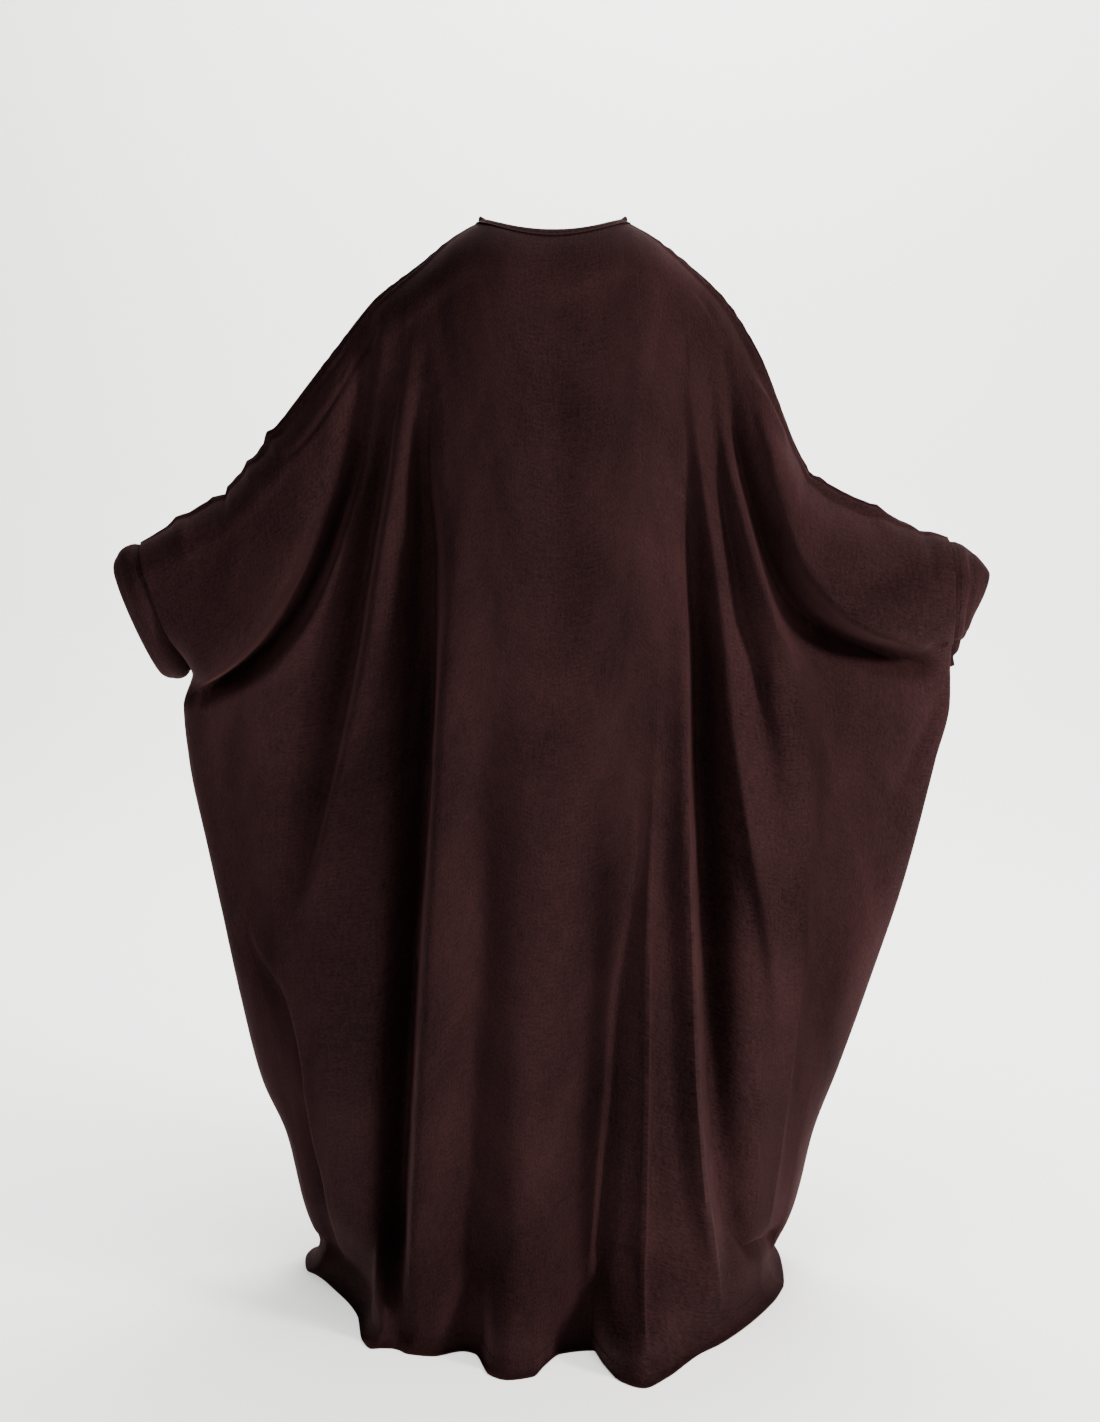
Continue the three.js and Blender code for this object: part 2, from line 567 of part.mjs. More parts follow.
// Turns every face over when a wall has come out inside out.
function facingOut(geometry) {
  const p = geometry.getAttribute("position");
  const index = geometry.getIndex();
  const a = new THREE.Vector3();
  const b = new THREE.Vector3();
  const c = new THREE.Vector3();
  let volume = 0;
  for (let i = 0; i < index.count; i += 3) {
    a.fromBufferAttribute(p, index.getX(i));
    b.fromBufferAttribute(p, index.getX(i + 1));
    c.fromBufferAttribute(p, index.getX(i + 2));
    volume += a.dot(b.cross(c)) / 6;
  }
  if (volume < 0) {
    const turned = [];
    for (let i = 0; i < index.count; i += 3) {
      turned.push(index.getX(i), index.getX(i + 2), index.getX(i + 1));
    }
    geometry.setIndex(turned);
  }
  geometry.computeVertexNormals();
  return geometry;
}

function moved(grid, normals, distance) {
  return grid.map((line, i) =>
    line.map((point, j) => point.clone().addScaledVector(normals[i][j], distance)),
  );
}

const backGrid = panelGrid(BACK);
const frontGrid = panelGrid(FRONT);
const backNormals = normalsOf(backGrid, BACK.outwards);
const frontNormals = normalsOf(frontGrid, FRONT.outwards);
const lastColumn = ACROSS.length - 1;
const neckColumn = (i) => Math.abs(ACROSS[i]) < NECK_EDGE - 1e-6;

// Where the two panels are sewn together they share one normal.
for (let i = 0; i <= lastColumn; i += 1) {
  for (let j = 0; j < DOWN.length; j += 1) {
    const overArm = j === 0 && !neckColumn(i);
    const atSide = i === 0 || i === lastColumn;
    const sewn = overArm || (atSide && DOWN[j].down > CUFF_FOOT - 1e-6);
    if (sewn) {
      const shared = new THREE.Vector3()
        .addVectors(backNormals[i][j], frontNormals[i][j])
        .normalize();
      backNormals[i][j].copy(shared);
      frontNormals[i][j].copy(shared);
    }
  }
}

// Draws a panel's edges in by half the seam gap, along the cloth.
function drawIn(grid) {
  const step = SEAM_GAP / 2;
  const pull = (point, towards) => {
    const way = new THREE.Vector3().subVectors(towards, point).normalize();
    point.addScaledVector(way, step);
  };
  const old = grid.map((line) => line.map((point) => point.clone()));
  for (let i = 0; i <= lastColumn; i += 1) {
    if (!neckColumn(i)) {
      pull(grid[i][0], old[i][1]);
    }
  }
  for (let j = 0; j < DOWN.length; j += 1) {
    pull(grid[0][j], old[1][j]);
    pull(grid[lastColumn][j], old[lastColumn - 1][j]);
  }
  return grid;
}

// A cuff is made from the points of the sleeve end, carried on to its own free edge.
function cuffGrids(cuff, i) {
  const rows = DOWN.map((row, j) => ({ row, j })).filter(
    ({ row }) => row.hem === 0 && row.down < CUFF_FOOT + 1e-6,
  );
  const start = [];
  for (const { row, j } of rows) {
    const angle = row.arm < 1 ? row.arm * 90 : 90 + (90 * row.down) / CUFF_FOOT;
    start.push({ angle, grid: backGrid, normals: backNormals, j, outwards: BACK.outwards });
  }
  for (const { row, j } of rows.slice(1, -1).reverse()) {
    const angle = row.arm < 1 ? row.arm * 90 : 90 + (90 * row.down) / CUFF_FOOT;
    start.push({ angle, grid: frontGrid, normals: frontNormals, j, outwards: FRONT.outwards });
  }
  const centre = new THREE.Vector3((cuff.topX + cuff.footX) / 2, 0, (cuff.topZ + cuff.footZ) / 2);
  const up = new THREE.Vector3(cuff.topX, 0, cuff.topZ).sub(centre);
  const middle = start.map(({ angle, grid, normals, j, outwards }) => {
    const from = grid[i][j].clone();
    const turn = radians(angle);
    const to = centre.clone().addScaledVector(up, Math.cos(turn));
    to.y = outwards * cuff.depth * Math.sin(turn);
    const way = new THREE.Vector3().subVectors(to, from).normalize();
    const edge = new THREE.Vector3().subVectors(grid[i][j + 1], grid[i][Math.max(0, j - 1)]);
    const square = way.clone().cross(edge.normalize()).length();
    const stand = CLOTH * 0.75 * Math.abs(way.dot(normals[i][j]));
    const clear = (SEAM_GAP + stand) / Math.max(0.5, square);
    from.addScaledVector(way, clear);
    const line = [];
    for (let k = 0; k < CUFF_RINGS; k += 1) {
      const t = k / (CUFF_RINGS - 1);
      line.push(from.clone().lerp(to, t));
    }
    return line;
  });
  const count = middle.length;
  const normals = middle.map((line, a) =>
    line.map((point, k) => {
      const next = middle[(a + 1) % count][k];
      const before = middle[(a + count - 1) % count][k];
      const around = new THREE.Vector3().subVectors(next, before);
      const along = new THREE.Vector3().subVectors(
        line[Math.min(CUFF_RINGS - 1, k + 1)], line[Math.max(0, k - 1)],
      );
      const normal = around.cross(along).normalize();
      const away = new THREE.Vector3().subVectors(point, centre);
      return normal.dot(away) < 0 ? normal.negate() : normal;
    }),
  );
  return { middle, normals };
}

// The binding goes on from the neck edge of both panels, all the way round.
function bindingGrid() {
  const ring = [];
  for (let i = 0; i <= lastColumn; i += 1) {
    if (Math.abs(ACROSS[i]) < NECK_EDGE + 1e-6) {
      ring.push({ grid: backGrid, normals: backNormals, i });
    }
  }
  for (let i = lastColumn; i >= 0; i -= 1) {
    if (neckColumn(i)) {
      ring.push({ grid: frontGrid, normals: frontNormals, i });
    }
  }
  const count = ring.length;
  const edge = ring.map(({ grid, i }) => grid[i][0].clone());
  return ring.map(({ normals, i }, k) => {
    const normal = normals[i][0];
    const along = new THREE.Vector3().subVectors(
      edge[(k + 1) % count], edge[(k + count - 1) % count],
    );
    const way = along.cross(normal).normalize();
    const inwards = new THREE.Vector3(-edge[k].x, -edge[k].y, 40);
    if (way.dot(inwards) < 0) {
      way.negate();
    }
    const base = edge[k].clone().addScaledVector(way, SEAM_GAP);
    const at = (height, out) =>
      base.clone().addScaledVector(way, height).addScaledVector(normal, out);
    const half = BINDING_THICK / 2;
    return [
      at(0, half),
      at(BINDING_HEIGHT - 1.2, half),
      at(BINDING_HEIGHT, 0),
      at(BINDING_HEIGHT - 1.2, -half),
      at(0, -half),
    ];
  });
}
// A ring from one closed profile carried round the neck.
function ringOf(lines) {
  const wide = lines.length;
  const tall = lines[0].length;
  const positions = lines.flat().flatMap((point) => [point.x, point.y, point.z]);
  const at = (i, j) => (i % wide) * tall + (j % tall);
  const faces = [];
  for (let i = 0; i < wide; i += 1) {
    for (let j = 0; j < tall; j += 1) {
      faces.push(at(i, j), at(i, j + 1), at(i + 1, j + 1));
      faces.push(at(i, j), at(i + 1, j + 1), at(i + 1, j));
    }
  }
  const geometry = new THREE.BufferGeometry();
  geometry.setAttribute("position", new THREE.Float32BufferAttribute(positions, 3));
  geometry.setIndex(faces);
  return geometry;
}

const leftCuff = cuffGrids(LEFT_CUFF, 0);
const rightCuff = cuffGrids(RIGHT_CUFF, lastColumn);
const binding = bindingGrid();
drawIn(backGrid);
drawIn(frontGrid);

const half = CLOTH / 2;
const pieces = [
  {
    name: "back",
    colour: 0x2e1e1f,
    geometry: wall(moved(backGrid, backNormals, half), moved(backGrid, backNormals, -half), false),
  },
  {
    name: "front",
    colour: 0x2e1e1f,
    geometry: wall(
      moved(frontGrid, frontNormals, half), moved(frontGrid, frontNormals, -half), false,
    ),
  },
  {
    name: "cuff_left",
    colour: 0x2a1b1b,
    geometry: wall(
      moved(leftCuff.middle, leftCuff.normals, half),
      moved(leftCuff.middle, leftCuff.normals, -half), true,
    ),
  },
  {
    name: "cuff_right",
    colour: 0x503032,
    geometry: wall(
      moved(rightCuff.middle, rightCuff.normals, half),
      moved(rightCuff.middle, rightCuff.normals, -half), true,
    ),
  },
  { name: "neck_binding", colour: 0x2a1b1b, geometry: ringOf(binding) },
];

const abaya = new THREE.Group();
abaya.name = "butterfly_abaya";
for (const piece of pieces) {
  const material = new THREE.MeshStandardMaterial({ color: piece.colour, roughness: 0.8 });
  material.name = "crepe";
  const mesh = new THREE.Mesh(facingOut(piece.geometry), material);
  mesh.name = piece.name;
  abaya.add(mesh);
}

export default abaya;
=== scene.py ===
import math

import bpy
import numpy as np
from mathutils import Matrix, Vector, noise


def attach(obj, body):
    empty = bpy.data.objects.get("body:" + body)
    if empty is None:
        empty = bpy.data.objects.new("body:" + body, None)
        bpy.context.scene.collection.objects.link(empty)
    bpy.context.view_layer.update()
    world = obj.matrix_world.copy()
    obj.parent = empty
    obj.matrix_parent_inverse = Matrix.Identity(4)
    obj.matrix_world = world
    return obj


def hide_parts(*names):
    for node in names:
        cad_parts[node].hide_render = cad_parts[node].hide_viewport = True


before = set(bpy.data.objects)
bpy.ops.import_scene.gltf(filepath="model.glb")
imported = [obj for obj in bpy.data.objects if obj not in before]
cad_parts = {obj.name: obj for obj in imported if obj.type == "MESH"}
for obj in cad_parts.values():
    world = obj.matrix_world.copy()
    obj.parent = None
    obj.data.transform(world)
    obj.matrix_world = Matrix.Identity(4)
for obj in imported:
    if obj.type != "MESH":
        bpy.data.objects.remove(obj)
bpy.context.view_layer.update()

# The back panel: one wide piece of plain crepe, cut with its sleeves in one with the body and
# sewn to the front over both sleeves and down both sides. It trails on the floor. Sizes are
# millimetres from the middle of the neck base, +Z up and +X right, and the cut's are metres.
FLOOR = -1440
CLOTH = 1.2
CUT_WIDTH = 1.44
HEM_BEND = 30
HEM_TRAIL = 22
NECK_HALF_WIDTH = 96
CENTRE_DROP = 100
NECK_EDGE = 0.2
NECK_FALL = math.radians(80)
NECK_START = math.radians(34)
SIDE_TAPER = 0.12
CUFF_FOOT = 0.14


def table(names, rows):
    """Rows of sizes as named columns."""
    values = np.array(rows, float)
    return {name: values[:, i] for i, name in enumerate(names)}


# The highest line of each sleeve, from the neck to the sleeve end. drop is the height over
# which the cloth rounds the sleeve's top, seam is how far behind that top the seam lies, in
# degrees, and slant moves the cloth sideways over that height.
ARM = ("across", "x", "z", "drop", "seam", "slant")
LEFT_ARM = table(ARM, [
    (0.2, -96, 0, 70, 0, 0),
    (0.3, -126, -17, 72, 8, 0),
    (0.42, -171, -52, 74, 24, 0),
    (0.53, -229, -93, 80, 34, 0),
    (0.63, -283, -158, 84, 36, 0),
    (0.72, -337, -230, 78, 30, 0),
    (0.8, -388, -300, 68, 14, 0),
    (0.88, -453, -363, 58, 4, 4),
    (0.95, -514, -400, 52, 0, 9),
    (1, -552, -420, 46, 0, 15),
])
RIGHT_ARM = table(ARM, [
    (0.2, 96, 0, 70, 0, 0),
    (0.3, 128, -18, 72, 7, 0),
    (0.42, 179, -58, 74, 20, 0),
    (0.53, 226, -102, 80, 28, 0),
    (0.63, 264, -170, 86, 26, 0),
    (0.72, 300, -250, 82, 16, 0),
    (0.8, 350, -338, 66, 8, 0),
    (0.88, 412, -374, 54, 6, 0),
    (0.95, 478, -398, 50, 4, 1),
    (1, 528, -413, 48, 0, 2),
])

# The side edges from the middle of the sleeve end down to the hem. down is the share of the
# panel's length, and the cuff is sewn on as far as CUFF_FOOT. y swings the edge forwards.
SIDE = ("down", "x", "z", "y")
LEFT_SIDE = table(SIDE, [
    (0, -537, -466, 0),
    (0.07, -513, -530, 0),
    (0.14, -486, -592, 0),
    (0.18, -500, -640, 0),
    (0.26, -494, -716, 0),
    (0.41, -463, -868, 0),
    (0.58, -432, -1037, 4),
    (0.7, -404, -1165, 12),
    (0.79, -373, -1240, 22),
    (0.92, -350, -1350, 36),
    (1, -330, -1410, 44),
])
RIGHT_SIDE = table(SIDE, [
    (0, 530, -461, 0),
    (0.07, 532, -525, 0),
    (0.14, 537, -588, 0),
    (0.18, 538, -632, 0),
    (0.27, 520, -716, 0),
    (0.43, 481, -880, 0),
    (0.575, 437, -1023, 4),
    (0.7, 396, -1150, 12),
    (0.8, 365, -1240, 22),
    (0.92, 340, -1352, 36),
    (1, 302, -1410, 44),
])

# The cloth's distance from the plane of the sleeves by height: middle on the centre line,
# wing out on the sleeve, half the half width of the middle part, and square how abruptly one
# turns into the other.
SECTION = ("z", "middle", "half", "wing", "square")
# Each fold runs along a path of x and z, and height is how far the cloth stands out along
# it, below 0 in a trough. left and right are its half widths on the two sides. peak sharpens
# the crest, and lean and sag shift the cloth sideways and up for each millimetre of height.
# These three are 0 where they aren't given.
BACK = {
    "outwards": -1,
    "neck_depth": 66,
    "neck_drop": 18,
    "sections": table(SECTION, [
        (0, 66, 120, 46, 4),
        (-60, 102, 150, 48, 4),
        (-150, 126, 180, 52, 4),
        (-300, 140, 190, 54, 4),
        (-450, 146, 196, 56, 4),
        (-620, 156, 204, 46, 4),
        (-800, 174, 218, 42, 4),
        (-1000, 198, 236, 42, 4.6),
        (-1200, 222, 254, 30, 5.2),
        (-1440, 246, 262, 10, 6),
    ]),
    # Folds that the columns of the cloth run along, so that their edges stay crisp. across is
    # the column's place between the sleeve ends, from -1 to 1.
    "guides": [
        dict(across=-0.66,
             path=[(-232, -140), (-246, -230), (-258, -309), (-279, -374), (-304, -440),
                   (-334, -506), (-368, -570), (-396, -640), (-398, -760), (-376, -950),
                   (-338, -1200), (-300, -1410)]),
        dict(across=-0.55,
             path=[(-196, -205), (-208, -308), (-217, -372), (-230, -437), (-240, -503),
                   (-252, -569), (-266, -635), (-280, -701), (-298, -768), (-312, -836),
                   (-322, -930), (-322, -1060), (-310, -1200), (-282, -1410)]),
        dict(across=-0.45,
             path=[(-184, -300), (-180, -432), (-182, -497), (-186, -559), (-190, -640),
                   (-196, -754), (-204, -819), (-210, -885), (-214, -1018), (-222, -1153),
                   (-228, -1290), (-234, -1410)]),
        dict(across=-0.38,
             path=[(-138, -300), (-138, -432), (-140, -497), (-145, -559), (-151, -689),
                   (-154, -754), (-159, -819), (-164, -885), (-169, -1018), (-177, -1153),
                   (-184, -1290), (-190, -1410)]),
        dict(across=0.24,
             path=[(112, -700), (110, -807), (103, -872), (93, -937), (84, -1002), (80, -1068),
                   (76, -1134), (69, -1201), (64, -1268), (58, -1335), (53, -1403)]),
        dict(across=0.31,
             path=[(136, -600), (131, -700), (126, -799), (123, -862), (121, -927), (120, -1056),
                   (118, -1187), (115, -1319), (112, -1400)]),
        dict(across=0.39,
             path=[(172, -500), (172, -600), (174, -739), (176, -803), (178, -867), (181, -932),
                   (186, -1062), (194, -1194), (202, -1260), (212, -1327), (222, -1400)]),
        dict(across=0.47,
             path=[(176, -200), (190, -307), (209, -434), (216, -498), (223, -563), (229, -628),
                   (240, -693), (252, -759), (260, -825), (268, -892), (276, -1000), (280, -1150),
                   (276, -1290), (256, -1410)]),
        dict(across=0.58,
             path=[(210, -180), (231, -308), (247, -372), (265, -437), (286, -503), (312, -560),
                   (334, -640), (346, -760), (340, -950), (322, -1150), (302, -1300),
                   (280, -1410)]),
    ],
    "folds": {
        "left sleeve belly": dict(
            left=80, right=34, sag=-0.6,
            path=[(-262, -190), (-300, -320), (-340, -420), (-392, -500), (-446, -556),
                  (-490, -590)],
            height=[6, 22, 36, 46, 44, 24]),
        "left sleeve hollow": dict(
            left=24, right=10, sag=-0.2,
            path=[(-232, -140), (-256, -309), (-277, -374), (-302, -440), (-333, -503),
                  (-380, -564), (-425, -598), (-470, -620)],
            height=[-6, -36, -52, -64, -72, -72, -60, -34]),
        "left first swag": dict(
            left=8, right=30, peak=0.4,
            path=[(-222, -150), (-245, -308), (-263, -372), (-283, -437), (-311, -503),
                  (-358, -569), (-400, -604)],
            height=[4, 18, 22, 22, 18, 10, 0]),
        "left second hollow": dict(
            left=34, right=8,
            path=[(-196, -180), (-215, -308), (-239, -437), (-261, -569), (-290, -701),
                  (-324, -836), (-352, -904), (-372, -980)],
            height=[-6, -32, -44, -44, -36, -22, -8, 0]),
        "left wide swag": dict(
            left=8, right=40, peak=0.3,
            path=[(-186, -180), (-208, -308), (-230, -437), (-252, -569), (-280, -701),
                  (-312, -836), (-340, -920)],
            height=[4, 22, 28, 28, 24, 14, 0]),
        "left deep hollow": dict(
            left=28, right=9,
            path=[(-160, -210), (-162, -308), (-154, -432), (-157, -559), (-163, -689),
                  (-173, -819), (-182, -952), (-190, -1086), (-197, -1221), (-205, -1428)],
            height=[-8, -40, -70, -88, -98, -104, -106, -106, -104, -100]),
        "left deep hollow's mouth": dict(
            left=26, right=14,
            path=[(-176, -250), (-178, -372), (-182, -497), (-192, -640), (-202, -780),
                  (-212, -920)],
            height=[0, -20, -26, -22, -12, 0]),
        "left edge ridge": dict(
            left=8, right=46, peak=0.5,
            path=[(-126, -380), (-134, -500), (-141, -600), (-147, -720), (-154, -850),
                  (-161, -980), (-169, -1120), (-177, -1260), (-184, -1410)],
            height=[4, 16, 24, 30, 34, 36, 38, 40, 34]),
        "left soft hollow": dict(
            left=26, right=34,
            path=[(-90, -620), (-98, -768), (-92, -904), (-100, -1040), (-97, -1200),
                  (-104, -1320), (-114, -1410)],
            height=[-4, -16, -18, -20, -22, -24, -24]),
        "centre lobe": dict(
            left=44, right=44,
            path=[(-24, -700), (-36, -1000), (-48, -1260), (-54, -1410)],
            height=[4, 12, 26, 50]),
        "between the lobes": dict(
            left=26, right=24,
            path=[(44, -740), (40, -950), (30, -1150), (26, -1410)],
            height=[-4, -12, -16, -18]),
        "right crease": dict(
            left=6, right=15,
            path=[(114, -690), (110, -807), (103, -872), (93, -937), (84, -1002), (80, -1068),
                  (76, -1134), (69, -1201), (64, -1268), (58, -1335), (53, -1403)],
            height=[0, -4, -9, -14, -16, -17, -15]),
        "right sharp ridge": dict(
            left=24, right=9, peak=0.75,
            path=[(138, -590), (131, -700), (126, -799), (123, -862), (121, -927), (120, -1056),
                  (118, -1187), (115, -1319), (112, -1400)],
            height=[0, 6, 9, 11, 12, 13, 14, 14, 12]),
        "between the sharp ridges": dict(
            left=8, right=16,
            path=[(152, -700), (150, -803), (148, -867), (141, -932), (140, -996), (139, -1062),
                  (142, -1127), (146, -1194), (154, -1260), (160, -1380)],
            height=[0, 1, 2, 2, 2, 2, 1]),
        "right outer ridge": dict(
            left=20, right=7, peak=0.65,
            path=[(174, -480), (172, -600), (171, -739), (172, -803), (174, -867), (177, -932),
                  (182, -1062), (189, -1194), (197, -1260), (208, -1327), (218, -1400)],
            height=[2, 18, 28, 34, 36, 36, 36, 34, 28, 12]),
        "right deep hollow": dict(
            left=10, right=32,
            path=[(172, -330), (178, -431), (183, -498), (187, -558), (189, -640), (190, -700),
                  (193, -760), (196, -817), (198, -883), (200, -949), (203, -1016), (206, -1083),
                  (209, -1150), (215, -1218), (224, -1286), (238, -1370)],
            height=[-8, -40, -62, -74, -80, -80, -78, -74, -70, -64, -56, -42, -20]),
        "right swag": dict(
            left=12, right=28, peak=0.3,
            path=[(176, -200), (190, -307), (209, -434), (216, -498), (223, -563), (229, -628),
                  (240, -693), (252, -759), (264, -825), (280, -892), (294, -980), (306, -1090)],
            height=[4, 18, 26, 30, 30, 30, 28, 24, 18, 12, 0]),
        "right second hollow": dict(
            left=16, right=16,
            path=[(203, -200), (212, -308), (223, -372), (236, -437), (246, -502), (263, -567),
                  (273, -633), (285, -700), (292, -790)],
            height=[-4, -20, -28, -32, -32, -30, -24, -14, 0]),
        "right hollow's edge": dict(
            left=24, right=7, peak=0.5,
            path=[(216, -200), (231, -308), (247, -372), (265, -437), (286, -503), (308, -548),
                  (330, -590)],
            height=[4, 20, 28, 34, 32, 18, 0]),
        "right sleeve hollow": dict(
            left=9, right=26, sag=-0.2,
            path=[(222, -200), (241, -308), (259, -374), (279, -439), (312, -505), (354, -543),
                  (420, -573), (488, -586)],
            height=[-6, -32, -46, -56, -60, -58, -48, -28]),
        "right sleeve belly": dict(
            left=28, right=84, sag=-0.6,
            path=[(240, -200), (276, -290), (312, -372), (356, -446), (420, -500), (488, -530)],
            height=[8, 24, 38, 46, 42, 26]),
        "under right forearm": dict(
            left=20, right=20,
            path=[(300, -330), (322, -376), (367, -424), (421, -448), (480, -440)],
            height=[-6, -12, -16, -16, -8]),
        "between the shoulders": dict(
            left=42, right=42,
            path=[(0, -120), (4, -300), (8, -520)],
            height=[-6, -12, -4]),
    },
    # Finer creases, pressed into the cloth square to its face.
    "creases": {
        "left shoulder crest": dict(
            left=9, right=14, peak=0.3,
            path=[(-176, -150), (-190, -240), (-196, -308), (-200, -372), (-196, -440)],
            height=[0, 4, 7, 7, 0]),
        "right centre trough": dict(
            left=14, right=18,
            path=[(59, -727), (59, -854), (53, -983), (47, -1114), (42, -1247), (37, -1420)],
            height=[0, -3, -4, -4, -4, -3]),
        "right inner trough": dict(
            left=8, right=13, peak=0.2,
            path=[(250, -210), (262, -260), (272, -308), (288, -374), (312, -440)],
            height=[0, -4, -7, -7, 0]),
        "right upper arm crest": dict(
            left=10, right=16, peak=0.3,
            path=[(256, -190), (266, -231), (287, -311), (312, -381), (347, -426)],
            height=[0, 3, 5, 4, 0]),
        "crease from the right cuff": dict(
            left=14, right=12, peak=0.3,
            path=[(532, -617), (502, -678), (476, -733), (443, -784)],
            height=[-7, -8, -5, 0]),
        "sharp ridge line": dict(
            left=5, right=4, peak=0.8,
            path=[(131, -700), (126, -799), (123, -862), (121, -927), (120, -1056), (118, -1187),
                  (115, -1319), (112, -1400)],
            height=[0, 3, 5, 6, 6, 6, 5]),
        "outer ridge line": dict(
            left=6, right=4, peak=0.8,
            path=[(171, -640), (172, -739), (173, -803), (175, -867), (178, -932), (183, -1062),
                  (190, -1194), (198, -1260), (209, -1327), (219, -1400)],
            height=[0, 3, 5, 5, 5, 4, 2]),
        "deep hollow's edge line": dict(
            left=4, right=9, peak=0.6,
            path=[(-138, -480), (-148, -660), (-157, -820), (-166, -980), (-173, -1110),
                  (-181, -1250), (-188, -1400)],
            height=[0, 3, 4, 4, 4, 4, 3]),
        "right wing wrinkle": dict(
            left=16, right=12,
            path=[(310, -836), (340, -842), (384, -844)],
            height=[0, -2.2, 0]),
        "right wing drag": dict(
            left=22, right=22, peak=0.1,
            path=[(500, -760), (452, -880), (398, -1010), (352, -1140)],
            height=[0, 3, 4, 0]),
        "right floor break": dict(
            left=10, right=10, peak=0.3,
            path=[(228, -1281), (250, -1337), (274, -1365), (301, -1372)],
            height=[0, -15, -17, -10]),
        "left floor break": dict(
            left=10, right=10, peak=0.3,
            path=[(-328, -1400), (-308, -1408), (-280, -1412), (-250, -1408)],
            height=[-8, -14, -13, -4]),
        "left upper edge fold": dict(
            left=16, right=5, peak=0.2,
            path=[(-424, -900), (-406, -966), (-368, -1034), (-350, -1110), (-344, -1150)],
            height=[0, -10, -14, -10, -4]),
        "left lower edge fold": dict(
            left=14, right=5, peak=0.2,
            path=[(-348, -1130), (-338, -1220), (-322, -1290), (-308, -1372), (-300, -1410)],
            height=[-3, -11, -13, -10, -4]),
        "left wing drag": dict(
            left=26, right=20, peak=0.1,
            path=[(-478, -730), (-440, -860), (-400, -1000), (-352, -1180)],
            height=[0, 4, 4, 0]),
        "left forearm drag": dict(
            left=16, right=16, peak=0.1,
            path=[(-404, -380), (-416, -440), (-440, -500)],
            height=[0, 3, 0]),
        "left elbow drag": dict(
            left=14, right=18, peak=0.2,
            path=[(-330, -260), (-326, -330), (-338, -400)],
            height=[0, 3.5, 0]),
        "left seam allowance": dict(
            left=5, right=4, peak=0.5,
            path=[(-196, -98), (-229, -140), (-269, -206), (-306, -262), (-343, -303),
                  (-366, -312)],
            height=[0, -3, -4, -4, -3, 0]),
        "left puckered gathers": dict(
            left=5, right=6, peak=0.3,
            path=[(-262, -176), (-276, -196), (-284, -220)],
            height=[0, -3, 0]),
        "right seam allowance": dict(
            left=4, right=5, peak=0.5,
            path=[(176, -84), (196, -106), (214, -138), (228, -172)],
            height=[0, -3, -3, 0]),
        "right elbow seam line": dict(
            left=6, right=5, peak=0.6,
            path=[(258, -206), (276, -236), (294, -268), (304, -284)],
            height=[2, 6, 6, 2]),
        "left shoulder drag": dict(
            left=12, right=14, peak=0.1,
            path=[(-152, -70), (-140, -150), (-122, -260)],
            height=[0, -3, 0]),
        "right shoulder drag": dict(
            left=12, right=14, peak=0.1,
            path=[(150, -66), (134, -160), (112, -290)],
            height=[0, -3, 0]),
    },
    # How far behind the plane of the sleeves the trailing hem lies, from its left corner.
    "hem_line": table(("x", "depth"), [
        (-330, 0), (-309, 18), (-277, 70), (-242, 150), (-233, 222), (-219, 250), (-206, 248),
        (-196, 248), (-186, 252), (-174, 264), (-144, 270), (-107, 254), (-92, 262),
        (-76, 322), (-54, 338), (-23, 328), (-10, 296), (9, 260), (47, 250), (59, 290),
        (77, 340), (106, 362), (133, 334), (175, 265), (203, 234), (279, 105), (302, 40),
    ]),
    "seed": 3,
}


def mix(a, b, t):
    """The value a share t of the way from a to b."""
    return a + (b - a) * t


def read(rows, by, name, at):
    """One column of a table, read smoothly between its rows."""
    keys = rows[by]
    values = rows[name]
    at = np.asarray(at, float)
    if keys[-1] < keys[0]:
        keys = -keys
        at = -at
    at = np.clip(at, keys[0], keys[-1])
    here = np.clip(np.searchsorted(keys, at, side="right") - 1, 0, len(keys) - 2)
    steps = np.diff(values) / np.diff(keys)
    before = steps[:-1]
    after = steps[1:]
    same = before * after > 0
    total = np.where(same, before + after, 1)
    slopes = np.concatenate(
        [steps[:1], np.where(same, 2 * before * after / total, 0), steps[-1:]])
    width = keys[here + 1] - keys[here]
    t = (at - keys[here]) / width
    return (values[here] * (1 + 2 * t) * (1 - t) ** 2
            + slopes[here] * width * t * (1 - t) ** 2
            + values[here + 1] * t * t * (3 - 2 * t)
            + slopes[here + 1] * width * t * t * (t - 1))


# A fold is followed in this many straight runs. A sharp one falls off from its crest by
# SHARP_FALL for each half width, and its very top is rounded over SHARP_TOP of one.
FOLD_RUNS = 28
SHARP_FALL = 1.3
SHARP_TOP = 0.2


